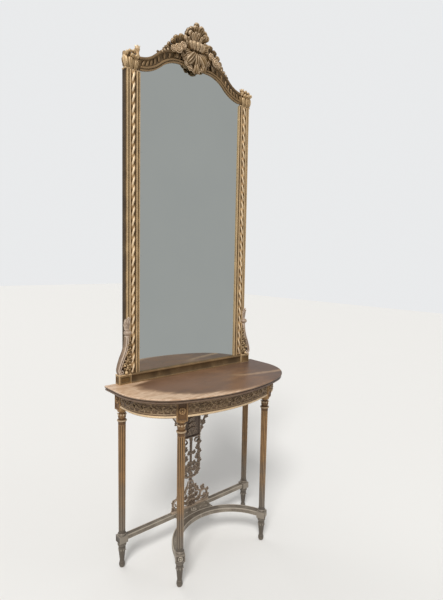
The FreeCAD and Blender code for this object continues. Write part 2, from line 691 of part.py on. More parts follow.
# ---------------------------------------------------------------- build: table
def make_carcass():
    front_block, back_block = block_tools("block_room")
    left_front_block = mirrored("left_front_block_room", front_block)
    pegs = dowel_rows("dowel", "dowel_radius", "0")
    holes = dowel_rows("dowel_hole", "dowel_radius + joint_clearance", "joint_clearance")
    front_holes, side_holes, back_holes = holes
    left_front_holes = mirrored("left_dowel_holes", grouped("front_dowel_holes", front_holes))

    hoop = band("apron_hoop", "apron_overhang", "apron_thickness", APRON_FOOT, "apron_height")
    bead_inset = "(apron_overhang - bead_proud)"
    bead_hoop = band("bead_hoop", bead_inset, "bead_proud", APRON_FOOT, "bead_height")
    reach = "top_width / 2"
    for kind, whole, with_holes in (("apron", hoop, True), ("apron_bead", bead_hoop, False)):
        middle_room = box(kind + "_middle_room", (f"-{FRONT_LEG_X}", "-top_depth / 2", APRON_FOOT),
                          (FRONT_LEG_X, "0", UNDERSIDE))
        side_room = box(kind + "_side_room", (FRONT_LEG_X, "-top_depth / 2", APRON_FOOT),
                        (reach, BACK_LEG_Y, UNDERSIDE))
        middle = shared(kind + "_middle_blank", whole, middle_room)
        side = shared(kind + "_side_blank", whole, side_room)
        middle_tools = [front_block, left_front_block]
        side_tools = [front_block, back_block]
        if with_holes:
            middle_tools = middle_tools + front_holes + [left_front_holes]
            side_tools = side_tools + side_holes + back_holes
        keep(cut(kind + "_front", middle, middle_tools))
        right = cut(kind + "_right", side, side_tools)
        keep(right, mirrored(kind + "_left", right))

    right_dowels = grouped("right_dowels", pegs[0] + pegs[1] + pegs[2])
    keep(grouped("apron_dowels", [right_dowels, mirrored("left_dowels", right_dowels)]))

    def rail(label, end, front, back, foot, top):
        """A straight rail with a tenon at each end, and the mortise's room at the right."""
        bar = box(label + "_bar", (f"-({end})", front, foot), (end, back, top))
        middle = f"(({front}) + ({back})) / 2"
        near, far = f"{middle} - tenon_thickness / 2", f"{middle} + tenon_thickness / 2"
        low, high = f"{foot} + {shoulder(foot, top)}", f"{top} - {shoulder(foot, top)}"
        tenons = box(label + "_tenons", (f"-({end}) - tenon_length", near, low),
                     (f"({end}) + tenon_length", far, high))
        play = "joint_clearance"
        mortise = box(label + "_mortise", (f"({end}) - cut_margin", f"{near} - {play}", f"{low} - {play}"),
                      (f"({end}) + tenon_length + {play}", f"{far} + {play}", f"{high} + {play}"))
        return joined(label, [bar, tenons]), mortise

    def shoulder(foot, top):
        return f"tenon_shoulder * (({top}) - ({foot})) / apron_height"

    back_rail, rail_mortise = rail("back_rail", RAIL_END, RAIL_FRONT, RAIL_BACK,
                                   APRON_FOOT, UNDERSIDE)
    stretcher_end = f"{BACK_LEG_X} - lower_block / 2"
    back_edge = f"{BACK_LEG_Y} + back_stretcher_width / 2"
    stretcher, stretcher_mortise = rail("stretcher_back", stretcher_end, BACK_STRETCHER_FRONT,
                                        back_edge, STRETCHER_FOOT, STRETCHER_TOP)
    keep(back_rail, stretcher)

    front_leg = make_leg("front_leg_turning", FRONT_LEG_X, FRONT_LEG_Y, "leg_turn")
    back_leg = make_leg("back_leg_turning", BACK_LEG_X, BACK_LEG_Y, "0")
    leg_front = cut("leg_front_right", front_leg, front_holes + side_holes)
    leg_back = cut("leg_back_right", back_leg, back_holes + [rail_mortise, stretcher_mortise])
    keep(leg_front, mirrored("leg_front_left", leg_front))
    keep(leg_back, mirrored("leg_back_left", leg_back))

    patera_z = f"{UNDERSIDE} - block_height / 2"
    for name, x, y, turn in (("front", FRONT_LEG_X, FRONT_LEG_Y, "leg_turn"),
                             ("back", BACK_LEG_X, BACK_LEG_Y, "90")):
        right = make_patera(f"patera_{name}_right", "leg_block / 2", "patera_radius",
                            x, y, patera_z, turn)
        keep(right, mirrored(f"patera_{name}_left", right))
    lower = make_patera("lower_patera_right", "lower_block / 2", "lower_patera_radius",
                        FRONT_LEG_X, FRONT_LEG_Y, "foot_height + lower_block_height / 2",
                        "leg_turn")
    keep(lower, mirrored("lower_patera_left", lower))


def make_stretchers():
    along = f"({FRONT_LEG_X} / {ARM_RADIUS})"
    rise = f"(({FRONT_LEG_Y} - {ARM_CENTRE_Y}) / {ARM_RADIUS})"
    inner = f"({ARM_RADIUS} - stretcher_width / 2)"
    outer = f"({ARM_RADIUS} + stretcher_width / 2)"
    corners = [("0", f"{ARM_CENTRE_Y} + {inner}"),
               (f"{along} * {inner}", f"{ARM_CENTRE_Y} + {rise} * {inner}"),
               (f"{along} * {outer}", f"{ARM_CENTRE_Y} + {rise} * {outer}"),
               ("0", f"{ARM_CENTRE_Y} + {outer}")]
    arm = slab("arm_blank", corners, {0: (inner, -1), 2: (outer, 1)}, STRETCHER_FOOT,
               "stretcher_height")
    lower_block = turned_box("lower_block_room", FRONT_LEG_X, FRONT_LEG_Y, "lower_block",
                             "foot_height", LOWER_TOP, "leg_turn")
    right = cut("stretcher_arm_right", arm, [lower_block])
    keep(right, mirrored("stretcher_arm_left", right))

    plate = box("platform_blank", ("-platform_width / 2", "ring_apex - stretcher_width", STRETCHER_FOOT),
                ("platform_width / 2", BACK_STRETCHER_FRONT, STRETCHER_TOP))
    disc = rod_up("arm_disc", ("0", ARM_CENTRE_Y, STRETCHER_FOOT), "stretcher_height", outer)
    keep(cut("stretcher_platform", plate, [disc]))


def make_splat():
    front, deep = SPLAT_FRONT, "splat_thickness"
    back = RAIL_FRONT
    sill_top = f"({STRETCHER_TOP} + splat_sill_height)"
    volute_x = "(splat_base_width / 2 - volute_radius)"
    volute_z = f"({sill_top} + volute_radius - volute_sink)"
    ring = "(volute_radius - volute_bar / 2)"
    sill = box("splat_sill", ("-splat_base_width / 2", front, STRETCHER_TOP),
               ("splat_base_width / 2", back, sill_top))
    trunk = box("splat_trunk", ("-post_radius * 1.8", front, STRETCHER_TOP),
                ("post_radius * 1.8", back, POST_FOOT))
    volute = scroll_bar("splat_volute", volute_x, volute_z, ring, "volute_bar", 0, 360, front, deep)
    climb = f"({POST_FOOT} - {volute_z})"
    arm = scroll_bar("splat_climb", volute_x, f"{volute_z} + {climb} - volute_bar",
                     f"({climb} - volute_bar - {ring})", "volute_bar", 180, 90, front, deep)
    right = joined("splat_base_half", [volute, arm])
    keep(joined("splat_base", [sill, trunk, right, mirrored("splat_base_left_half", right)]))

    post = new_body("splat_post")
    foot, top = POST_FOOT, PANEL_FOOT
    ring_z = SCROLL_FOOT
    turned(post, [("0", foot), ("post_radius", foot), ("post_radius", f"{ring_z} - post_ring * 0.7"),
                  ("post_radius * 1.3", f"{ring_z} - post_ring / 2"),
                  ("post_radius * 1.3", f"{ring_z} + post_ring / 2"),
                  ("post_radius * 0.8", f"{ring_z} + post_ring * 0.9"),
                  ("post_radius", f"{top} - post_head"), ("post_radius", top), ("0", top)])
    keep(place(post, "0", SPLAT_MIDDLE))

    bend = "(scroll_reach - post_radius * 1.3)"
    curve = scroll_bar("side_scroll_bend", "post_radius * 1.3", f"{ring_z} + {bend}", bend,
                       "volute_bar * 0.8", 270, 90, front, deep)
    upright = box("side_scroll_upright",
                  ("scroll_reach - volute_bar * 0.4", front, f"{ring_z} + {bend}"),
                  ("scroll_reach + volute_bar * 0.4", back, top))
    post_room = rod_up("post_room", ("0", SPLAT_MIDDLE, foot), f"{top} - {foot}", "post_radius * 1.3")
    right = cut("splat_scroll_right", joined("side_scroll", [curve, upright]), [post_room])
    keep(right, mirrored("splat_scroll_left", right))

    half = "panel_width / 2"
    shoulder = f"({APRON_FOOT} - ear_drop)"
    panel = [(f"-({half})", top), (half, top), (half, f"{APRON_FOOT} + panel_lap"),
             (f"-({half})", f"{APRON_FOOT} + panel_lap")]
    keep(upright_slab("splat_panel", panel, None, back, deep))
    ear = [(half, shoulder), ("ear_reach", f"{APRON_FOOT} - ear_drop / 2"),
           ("ear_reach", f"{APRON_FOOT} + panel_lap / 2"), (half, f"{APRON_FOOT} + panel_lap / 2")]
    right = upright_slab("splat_ear_right", ear, {0: ("ear_drop * 1.1", 1)}, back, deep)
    keep(right, mirrored("splat_ear_left", right))


def make_glue_blocks():
    size, blocks = "glue_block_size", []
    for name, x in (("outer", "glue_block_offset"), ("inner", "glue_block_inner")):
        low = (f"{x} - glue_block_length / 2", f"{RAIL_FRONT} - {size}", f"{UNDERSIDE} - {size}")
        high = (f"{x} + glue_block_length / 2", RAIL_FRONT, UNDERSIDE)
        blocks.append(box(f"glue_block_{name}", low, high))
    right = grouped("glue_blocks_right", blocks)
    keep(grouped("glue_blocks", [right, mirrored("glue_blocks_left", right)]))


# ---------------------------------------------------------------- build: pier glass
def make_plinth(fitting_rooms):
    inner = "(plinth_half_width - plinth_block_width)"
    front = f"({WALL} - plinth_depth)"
    proud = f"({front} - plinth_block_proud)"
    keep(box("plinth_rail", (f"-{inner}", front, "top_height"), (inner, WALL, PLINTH_TOP)))
    block = box("plinth_block_blank", (inner, proud, "top_height"),
                ("plinth_half_width", WALL, PLINTH_TOP))
    low_z, high_z = "top_height + panel_margin", f"{PLINTH_TOP} - panel_margin"
    panel = box("plinth_panel_room", (f"{inner} + panel_margin", f"{proud} - cut_margin", low_z),
                ("plinth_half_width - panel_margin", f"{proud} + panel_sink", high_z))
    side = box("plinth_side_room",
               ("plinth_half_width - panel_sink", f"{proud} + panel_margin", low_z),
               ("plinth_half_width + cut_margin", f"{WALL} - panel_margin", high_z))
    right = cut("plinth_block_right", block, [panel, side, *fitting_rooms])
    keep(right, mirrored("plinth_block_left", right))


def make_stiles(fitting_rooms):
    """Uprights: a rebate for the glass behind, a channel for the rope in front."""
    inner, outer = "sight_half_width", STILE_OUT
    front, back = FRAME_FRONT, WALL
    rope_in = f"({inner} + rope_inset)"
    rope_out = f"({rope_in} + rope_width)"
    step = "(rope_channel / 2)"
    corners = [
        (inner, LIP_BACK), (inner, f"{front} + {step}"), (f"{inner} + stile_edge", f"{front} + {step}"),
        (f"{inner} + stile_edge", front), (rope_in, front), (rope_in, f"{front} + rope_channel"),
        (rope_out, f"{front} + rope_channel"), (rope_out, front),
        (f"{outer} - stile_edge", front), (f"{outer} - stile_edge * 0.6", f"{front} + {step}"),
        (outer, f"{front} + {step}"), (outer, back), (f"{inner} + rebate_width", back),
        (f"{inner} + rebate_width", LIP_BACK)]
    blank = slab("stile_blank", corners, None, PLINTH_TOP, f"{CORNER_FOOT} - {PLINTH_TOP}")
    right = cut("stile_right", blank, fitting_rooms)
    keep(right, mirrored("stile_left", right))
    rope_side = f"{front} + rope_channel * 0.8"
    rope = [(rope_in, f"{front} + rope_channel"), (rope_in, rope_side), (rope_out, rope_side),
            (rope_out, f"{front} + rope_channel")]
    right = slab("rope_right", rope, {1: ("rope_width * 0.55", 1)}, PLINTH_TOP,
                 f"{CORNER_FOOT} - {PLINTH_TOP}")
    keep(right, mirrored("rope_left", right))


def make_head():
    lip = head_half("head_lip", "0", LIP_BACK, "lip_depth")
    rear = head_half("head_rear", "rebate_width", WALL, "frame_depth - lip_depth")
    right = joined("head_rail_right", [lip, rear])
    keep(right, mirrored("head_rail_left", right))

    block = box("corner_blank", ("sight_half_width", f"{FRAME_FRONT} - corner_block_proud", CORNER_FOOT),
                (f"{STILE_OUT} + corner_block_out", WALL, CORNER_TOP))
    rebate = box("corner_rebate", ("sight_half_width - cut_margin", LIP_BACK, f"{CORNER_FOOT} - cut_margin"),
                 ("sight_half_width + rebate_width", f"{WALL} + cut_margin", f"{ARCH_TOP} + cut_margin"))
    head_room = box("head_end_room",
                    ("sight_half_width - cut_margin * 2", LIP_BACK, f"{SIGHT_TOP} + rebate_width * 2"),
                    ("sight_half_width + rebate_width + cut_margin", f"{WALL} + cut_margin * 2",
                     f"{ARCH_TOP} + cut_margin * 2"))
    right = cut("corner_block_right", block, [cut("corner_rebate_room", rebate, [head_room])])
    keep(right, mirrored("corner_block_left", right))

    bud = new_body("corner_bud_right")
    turned(bud, [("0", "0"), ("bud_radius * 0.6", "0"), ("bud_radius", "bud_height * 0.35"),
                 ("bud_radius * 0.7", "bud_height * 0.75"), ("bud_radius * 0.2", "bud_height"),
                 ("0", "bud_height")])
    place(bud, "sight_half_width + bud_inset", f"{FRAME_FRONT} + bud_radius / 2", CORNER_TOP)
    keep(bud, mirrored("corner_bud_left", bud))


def make_crest():
    """Pierced board on the head rail, with the carved clusters on its face."""
    low, low_round, _ = arch("head_width", "crest_half_width")
    tip, rise = CREST_TIP, "crest_rise"
    steps = ((1, 0.07), (1.5, 0.17), (2, 0.42), (2.6, 0.53), (3.4, 0.69), (4.4, 0.95))
    edge = [(f"crest_tip_half * {out}", f"{tip} - {rise} * {down}") for out, down in steps]
    corners = [low[0], low[1], ("crest_half_width", crest_foot()), *edge[::-1], ("0", tip)]
    board = upright_slab("crest_board_half", corners, {1: (low_round, -1)},
                         f"{FRAME_FRONT} + crest_thickness", "crest_thickness")
    keep(both_halves("crest_board", board))
    rail_top = f"{ARCH_TOP} + head_width"
    carvings = (("crest_shell", f"{rail_top} + {rise} * 0.307", "shell_half", f"{rise} * 0.28"),
                ("crest_leaf", f"{ARCH_TOP} + head_width * 0.304", "leaf_half", "head_width * 0.73"),
                ("crest_bloom", f"{tip} - {rise} * 0.207", "bloom_half", f"{rise} * 0.2"))
    for label, z, half_x, half_z in carvings:
        keep(boss(label, "0", z, half_x, half_z))
    roses = boss("crest_roses_right", "rose_offset", f"{rail_top} + {rise} * 0.127", "rose_half",
                 f"{rise} * 0.24")
    keep(roses, mirrored("crest_roses_left", roses))


def crest_foot():
    """Height of the head rail's upper edge at the crest board's end."""
    reach = f"({ROUND_RADIUS} + head_width)"
    return f"{ARCH_TOP} - {ROUND_RADIUS} + sqrt({reach}^2 - (crest_half_width - arch_end)^2)"


def make_glass():
    gap = "glass_clearance"
    half_width = f"(sight_half_width + rebate_width - {gap})"
    offset = f"(rebate_width - {gap})"
    foot = PLINTH_TOP
    glass = plate_half("glass_half", offset, half_width, foot, None, GLASS_BACK, "glass_thickness")
    keep(both_halves("mirror_plate", glass))
    lower = plate_half("lower_board_half", offset, half_width, foot, MIDDLE_SPLIT, BOARD_BACK,
                       "board_thickness")
    upper = plate_half("upper_board_half", offset, half_width, MIDDLE_SPLIT, None, BOARD_BACK,
                       "board_thickness")
    keep(both_halves("backboard_lower", lower), both_halves("backboard_upper", upper))
    battens = []
    for name in ("lower", "upper"):
        rise = f"({PLINTH_TOP} + {name}_batten_rise)"
        battens.append(box(f"batten_{name}", (f"-{half_width}", BOARD_BACK, rise),
                           (half_width, f"{BOARD_BACK} + batten_thickness", f"{rise} + batten_height")))
    keep(grouped("back_battens", battens))


def make_brackets():
    """Scrolled wing outside each upright, standing on the plinth's end block."""
    back = f"{WALL} - bracket_setback"
    inner, foot = STILE_OUT, PLINTH_TOP
    waist = f"{inner} + bracket_waist"
    knob = f"({foot} + knob_rise)"
    corners = [(inner, foot), ("plinth_half_width", foot), ("plinth_half_width", f"{foot} + bracket_heel"),
               (waist, f"{knob} - knob_radius * 1.5"), (waist, f"{knob} + knob_radius"),
               (f"{inner} + bracket_tip", f"{foot} + bracket_height"), (inner, f"{foot} + bracket_height")]
    wing = upright_slab("bracket_wing", corners, {2: ("bracket_height * 1.4", -1)}, back,
                        "bracket_thickness")
    middle = f"{back} - bracket_thickness / 2"
    ball = doc.addObject("Part::Sphere", "bracket_knob_ball")
    bind(ball, {"Radius": "knob_radius"})
    place(ball, f"{inner} + knob_radius / 2", middle, knob)
    stile_room = box("bracket_stile_room",
                     (f"{inner} - 3 * knob_radius", f"{FRAME_FRONT} - knob_radius", foot),
                     (inner, f"{WALL} + knob_radius", CORNER_FOOT))
    right = cut("bracket_right", joined("bracket_blank", [wing, ball]), [stile_room])
    keep(right, mirrored("bracket_left", right))


def strip(label, x, z, width, height, thickness, slack="0"):
    """A flat metal strip let into the wall side of the wood, or its room with some slack."""
    low = (f"{x} - {width} / 2 - {slack}", f"{WALL} - {thickness}", f"{z} - {height} / 2 - {slack}")
    high = (f"{x} + {width} / 2 + {slack}", WALL, f"{z} + {height} / 2 + {slack}")
    return box(label, low, high)


def small_screw(label, x, z, radius, slack="0"):
    """A screw driven from the wall side, flush with the strip it holds, or its hole."""
    reach = f"(frame_screw_bite + {slack})"
    return rod_back(label, (x, f"{WALL} - {reach}", z), reach, radius)


def make_fittings():
    """Straps that tie uprights and plinth together, and plates to hang the glass by.

    Gives back the room they need, for the right-hand pieces that they are let into.
    """
    strap_x = f"((plinth_half_width - plinth_block_width + {STILE_OUT}) / 2)"
    strap_z = "(top_height + strap_rise + strap_length / 2)"
    plate_x = f"((sight_half_width + rebate_width + {STILE_OUT}) / 2)"
    plate_z = f"({CORNER_FOOT} - plate_drop)"
    strap = strip("strap_strip", strap_x, strap_z, "strap_width", "strap_length", "strap_thickness")
    plate = strip("plate_strip", plate_x, plate_z, "plate_width", "plate_length",
                  "plate_thickness")
    strap_room = strip("strap_room", strap_x, strap_z, "strap_width", "strap_length",
                       "strap_thickness", "joint_clearance")
    plate_room = strip("plate_room", plate_x, plate_z, "plate_width", "plate_length",
                       "plate_thickness", "joint_clearance")
    places = [(strap_x, "top_height + plinth_height * 0.3"), (strap_x, "top_height + plinth_height * 0.72"),
              (strap_x, f"{PLINTH_TOP} + strap_screw_spacing / 2"),
              (strap_x, f"{PLINTH_TOP} + strap_screw_spacing * 1.5"),
              (plate_x, f"{plate_z} - plate_length / 2 + plate_screw_inset"),
              (plate_x, f"{plate_z} + plate_length / 2 - plate_screw_inset")]
    screws, holes = [], []
    for number, (x, z) in enumerate(places):
        screws.append(small_screw(f"frame_screw_{number}", x, z, "frame_screw_radius"))
        holes.append(small_screw(f"frame_screw_hole_{number}", x, z,
                                 "frame_screw_radius + joint_clearance / 2", "joint_clearance"))
    key = rod_back("plate_key_room", (plate_x, f"{WALL} - frame_screw_bite", plate_z),
                   "frame_screw_bite", "plate_hole_radius * 1.5")
    eye = rod_back("plate_eye", (plate_x, f"{WALL} - plate_thickness - cut_margin", plate_z),
                   "plate_thickness + cut_margin * 2", "plate_hole_radius")
    bored_strap = cut("strap_right", strap, holes[:4])
    bored_plate = cut("plate_right", plate, [*holes[4:], eye])
    for label, pieces in (("frame_straps", [bored_strap]), ("wall_plates", [bored_plate]),
                          ("frame_screws", screws)):
        right = grouped(label + "_right", pieces)
        keep(grouped(label, [right, mirrored(label + "_left", right)]))
    return [strap_room, plate_room, key, *holes]


fitting_rooms = make_fittings()
make_carcass()
make_stretchers()
make_splat()
make_glue_blocks()
keep(make_top())
make_plinth(fitting_rooms)
make_stiles(fitting_rooms)
make_head()
make_crest()
make_glass()
make_brackets()
doc.recompute()

# ---------------------------------------------------------------- check and export
for item in doc.Objects:
    if {"Invalid", "Error"} & set(item.State):
        raise RuntimeError(f"{item.Label} failed: {item.State}")
for piece in parts:
    shape = piece.Shape
    if shape.isNull() or not shape.isValid() or not shape.Solids:
        raise RuntimeError(f"{piece.Label} has no valid solid")

os.makedirs("parts", exist_ok=True)
for piece in parts:
    piece.Shape.exportStep(f"parts/{piece.Label}.step")
    bounds = piece.Shape.BoundBox
    print(f"{piece.Label:24s} solids {len(piece.Shape.Solids)} volume {piece.Shape.Volume / 1000:9.1f} cm3"
          f" x {bounds.XMin:.1f}..{bounds.XMax:.1f} y {bounds.YMin:.1f}..{bounds.YMax:.1f}"
          f" z {bounds.ZMin:.1f}..{bounds.ZMax:.1f}")
print(len(parts), "pieces")
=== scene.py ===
# %% [markdown]
# Pier table with its tall pier glass
#
# The table is a bow-fronted stone slab on four fluted legs; the glass stands on it in a carved and
# gilded frame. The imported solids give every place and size. Most pieces here are carved again in
# finer detail, a few keep their solid and only get their finish.

# %% Start and fixed frame
from math import atan, atan2, cos, degrees, exp, pi, radians, sin, sqrt

import bmesh
import bpy
from mathutils import Matrix, Vector


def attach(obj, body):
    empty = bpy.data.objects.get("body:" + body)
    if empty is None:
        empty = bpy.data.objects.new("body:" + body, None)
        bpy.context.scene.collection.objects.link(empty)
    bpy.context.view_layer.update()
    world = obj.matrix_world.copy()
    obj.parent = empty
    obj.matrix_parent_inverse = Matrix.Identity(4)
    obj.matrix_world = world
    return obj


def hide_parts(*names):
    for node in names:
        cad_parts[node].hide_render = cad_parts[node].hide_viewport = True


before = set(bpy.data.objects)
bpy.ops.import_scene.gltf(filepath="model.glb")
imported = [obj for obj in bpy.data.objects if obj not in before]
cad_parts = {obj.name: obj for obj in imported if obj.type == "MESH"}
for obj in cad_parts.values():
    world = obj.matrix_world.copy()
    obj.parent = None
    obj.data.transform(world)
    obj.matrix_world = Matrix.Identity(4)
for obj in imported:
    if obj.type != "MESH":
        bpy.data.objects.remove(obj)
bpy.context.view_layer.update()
MM = 0.001

# %% [markdown]
# Camera
#
# A low viewpoint left of the middle makes the tall frame lean a little. The lens is set from the
# focal length in pixels of the long side, and the camera's own matrix carries yaw, pitch and roll,
# which is easier to check than three turned empties.

# %% Camera
VIEW_POINT = Vector((-1.3255, -1.5626, 1.4226))
YAW, PITCH, ROLL = (radians(a) for a in (41.145, 5.114, 1.133))
FOCAL_PIXELS, LONG_SIDE, SENSOR = 439.9, 600, 36.0

ahead = Vector((sin(YAW) * cos(PITCH), cos(YAW) * cos(PITCH), -sin(PITCH)))
level = Vector((cos(YAW), -sin(YAW), 0))
upward = level.cross(ahead)
right = level * cos(ROLL) + upward * sin(ROLL)
top = upward * cos(ROLL) - level * sin(ROLL)
lens = bpy.data.cameras.new("view")
lens.sensor_width = SENSOR
lens.lens = SENSOR * FOCAL_PIXELS / LONG_SIDE
camera = bpy.data.objects.new("view", lens)
turn = Matrix((right, top, -ahead)).transposed().to_4x4()
camera.matrix_world = Matrix.Translation(VIEW_POINT) @ turn
bpy.context.collection.objects.link(camera)
bpy.context.scene.camera = camera
print("lens", round(lens.lens, 2), "mm")

# %% [markdown]
# Studio
#
# A pale floor, a pale world and soft suns. A sun lights floor and wood evenly however tall the
# object is, and a wide sun angle keeps its shadows soft. The world is brighter for camera rays and a
# little dimmer for mirror rays than for the light it gives, so the background is pale while the wood
# is lit at a plain level.

# %% Studio
scene = bpy.context.scene
scene.view_settings.view_transform = "Standard"


def sun(name, towards, width, strength):
    """A soft sun that shines along a direction."""
    light = bpy.data.lights.new(name, "SUN")
    light.angle, light.energy = radians(width), strength
    holder = bpy.data.objects.new(name, light)
    bpy.context.collection.objects.link(holder)
    holder.rotation_euler = Vector(towards).to_track_quat("-Z", "Y").to_euler()
    return holder


sun("key", (0.6, 0.52, -0.86), 20, 2.5)
sun("fill", (-0.75, 0.7, -0.25), 50, 0.5).visible_glossy = False
sun("back", (0.1, -0.8, -0.6), 50, 0.5)

# %% [markdown]
# Shader maths
#
# A finish mixes a few masks. Written with + - * between sockets it reads like a formula, so one
# small class wraps a socket and adds the Math node for each sign.

# %% Shader maths
class Wire:
    """A node socket that can be added, subtracted, multiplied, divided and raised to a power."""

    def __init__(self, tree, socket):
        self.tree, self.socket = tree, socket

    def maths(self, operation, first, second=None):
        return Shader(self.tree).node("Math", {0: first, 1: second}, operation=operation)

    def __abs__(self):
        return self.maths("ABSOLUTE", self)


for sign, operation in (("add", "ADD"), ("sub", "SUBTRACT"), ("mul", "MULTIPLY"), ("truediv", "DIVIDE"),
                        ("pow", "POWER")):
    setattr(Wire, f"__{sign}__", lambda self, other, way=operation: self.maths(way, self, other))
    setattr(Wire, f"__r{sign}__", lambda self, other, way=operation: self.maths(way, other, self))


class Shader:
    """Adds nodes to one material's tree."""

    def __init__(self, tree):
        self.tree = tree

    def node(self, kind, inputs=None, output=0, **settings):
        """Any shader node, with what goes into its sockets and its settings."""
        made = self.tree.nodes.new("ShaderNode" + kind)
        for key, value in settings.items():
            setattr(made, key, value)
        self.feed(made, inputs or {})
        return Wire(self.tree, made.outputs[output])

    def feed(self, made, inputs):
        """Puts values or wires into a node, by socket name or number."""
        for key, value in inputs.items():
            if isinstance(value, Wire):
                self.tree.links.new(value.socket, made.inputs[key])
            elif value is not None:
                made.inputs[key].default_value = value

    def blend(self, mask, under, over):
        """Two colours by a mask."""
        return self.node("Mix", {0: mask, 6: under, 7: over}, 2, data_type="RGBA")

    def noise(self, where, scale, detail=3.0, rough=0.55, twist=0.0):
        return self.node("TexNoise", {"Vector": where, "Scale": scale, "Detail": detail, "Roughness": rough,
                                      "Distortion": twist})

    def stretch(self, where, scale, turn=(0, 0, 0)):
        """The place scaled and turned, for streaks."""
        return self.node("Mapping", {"Vector": where, "Scale": scale, "Rotation": turn})

    def between(self, value, low, high):
        """0 under low, 1 over high, smooth between."""
        return self.node("MapRange", {"Value": value, "From Min": low, "From Max": high},
                         interpolation_type="SMOOTHSTEP")

    def axes(self, where):
        """The three numbers of a place."""
        split = self.node("SeparateXYZ", {0: where}).socket.node
        return [Wire(self.tree, socket) for socket in split.outputs]

    def bump(self, strength, distance, height):
        return self.node("Bump", {"Strength": strength, "Distance": distance, "Height": height})


def new_material(name):
    """An empty material: its shader helper, its Principled node and the object's own place."""
    material = bpy.data.materials.new(name)
    material.use_nodes = True
    kit = Shader(material.node_tree)
    return material, kit, material.node_tree.nodes["Principled BSDF"], kit.node("TexCoord", output=3)


def rgb(*parts):
    """A screen colour, 0 to 255, as the linear colour that shaders use."""
    shares = [part / 255 for part in parts]
    return *(s / 12.92 if s <= 0.04045 else ((s + 0.055) / 1.055) ** 2.4 for s in shares), 1.0


print("helpers ready")

# %% [markdown]
# Gilding
#
# Old gilding is never one colour. The burnish stays dark in the hollows, where dust and size gather,
# and rubs through to pale gesso on whatever stands out. Each carved piece therefore carries a number
# per point, `relief`, above 0 on ridges and below 0 in hollows, and the finish reads it. The number
# also carries painted shade, lower for parts that lie deep in the carving, and a painted highlight,
# higher for the foremost parts. Bronze paint hides most metal, so the surface is only partly metallic.

# %% Gilding
SILVERY = rgb(160, 152, 140)
GREY_BELOW, GOLD_ABOVE = 0.14, 0.5


def gilding(name, deep, gold, pale, dark, metal=0.25, grime_and_shade=0.6, grey=None):
    """A worn bronze gilding of four screen colours; grey is what it weathers to near the floor."""
    material, kit, surface, place = new_material(name)
    deep, gold, pale, dark = (rgb(*colour) for colour in (deep, gold, pale, dark))
    relief = kit.node("Attribute", output=2, attribute_name="relief")
    cloudy = kit.noise(place, 16, 4)
    specks = kit.noise(place, 230, 3)
    strokes = kit.noise(kit.stretch(place, (150, 150, 22)), 1, 2)
    body = kit.blend(kit.between(cloudy, 0.38, 0.62), deep, gold)
    # Ridges go pale: gesso rubbed through, and a painted highlight that relief carries on the foremost parts.
    ridge = kit.between(relief + (specks - 0.5) * 0.3, 0.06, 0.45)
    rubbed_and_highlit = kit.blend(ridge * 0.72, body, pale)
    patch = kit.between(specks * 0.5 + cloudy * 0.5, 0.56, 0.66)
    flecked = kit.blend(patch * 0.3, rubbed_and_highlit, pale)
    if grey:
        height = kit.axes(place)[2]
        low = 1 - kit.between(height + (cloudy - 0.5) * 0.25, GREY_BELOW, GOLD_ABOVE)
        flecked = kit.blend(low * 0.92, flecked, kit.blend(ridge * 0.6, rgb(*grey), SILVERY))
    # Hollows go dark: dust that gathers in them, and painted shade that relief carries deep in the carving.
    hollow = kit.between((0 - relief) + (cloudy - 0.5) * 0.3, 0.06, 0.5)
    kit.feed(surface, {
        "Base Color": kit.blend(hollow * grime_and_shade, flecked, dark), "Metallic": metal * (1 - hollow),
        "Roughness": 0.46 + hollow * 0.3 + (strokes - 0.5) * 0.25,
        "Normal": kit.bump(0.22, 0.0012, specks * 0.6 + strokes * 0.4)})
    return material


FRAME_GOLD = gilding("frame_gold", (104, 78, 44), (136, 106, 64), (230, 199, 154), (36, 25, 14), grime_and_shade=0.8)
CREAM_GOLD = gilding("cream_gold", (150, 116, 74), (196, 160, 112), (246, 222, 186), (60, 42, 20), grime_and_shade=0.75)
CREST_GOLD = gilding("crest_gold", (100, 75, 40), (132, 102, 58), (234, 206, 170), (28, 19, 9), grime_and_shade=0.95)
HEAD_BRONZE = gilding("head_bronze", (84, 65, 40), (110, 87, 56), (170, 138, 98), (44, 31, 17), grime_and_shade=0.45)
# The leg and apron gildings are darker than the frame's, partly painted shade: the table stands lower, in
# less light, and its apron in the shade of the top.
TABLE_GOLD = gilding("table_gold", (86, 60, 34), (112, 80, 46), (184, 146, 98), (38, 26, 15), grime_and_shade=0.5,
                     grey=(84, 78, 70))
APRON_GILT = gilding("apron_gilt", (88, 67, 45), (108, 84, 59), (172, 148, 116), (28, 20, 13))
APRON_LEAF = gilding("apron_leaf", (88, 67, 45), (110, 87, 61), (166, 140, 108), (46, 34, 22))
CAPITAL_GILT = gilding("capital_gilt", (106, 84, 58), (134, 108, 77), (204, 180, 148), (46, 34, 22))
PALE_GILT = gilding("pale_gilt", (106, 96, 84), (130, 120, 106), (190, 179, 162), (48, 41, 34))
GREYED_GOLD = gilding("greyed_gold", (122, 100, 82), (150, 127, 105), (228, 208, 188), (46, 32, 18),
                      metal=0.15, grime_and_shade=0.7)
# The splat's gilding is dull and dark, partly painted shade for its place under the top and at the back.
SPLAT_GILT = gilding("splat_gilt", (72, 57, 47), (96, 79, 66), (172, 152, 130), (30, 23, 18),
                     metal=0.1, grime_and_shade=0.8)
print("gildings", [m.name for m in bpy.data.materials])

# %% [markdown]
# Stone top
#
# The slab is brown stone with streaks that run along the front. A sandy vein follows the front left
# edge, a sandy band lies before the plinth at the left, and a pale thread crosses the right. Streaks
# are one noise whose place is squeezed across the grain; the vein is a soft ring, broken up by a
# second noise.

# %% Stone top
EDGE_SHADE_FOOT, EDGE_SHADE_TOP = 0.853, 0.859


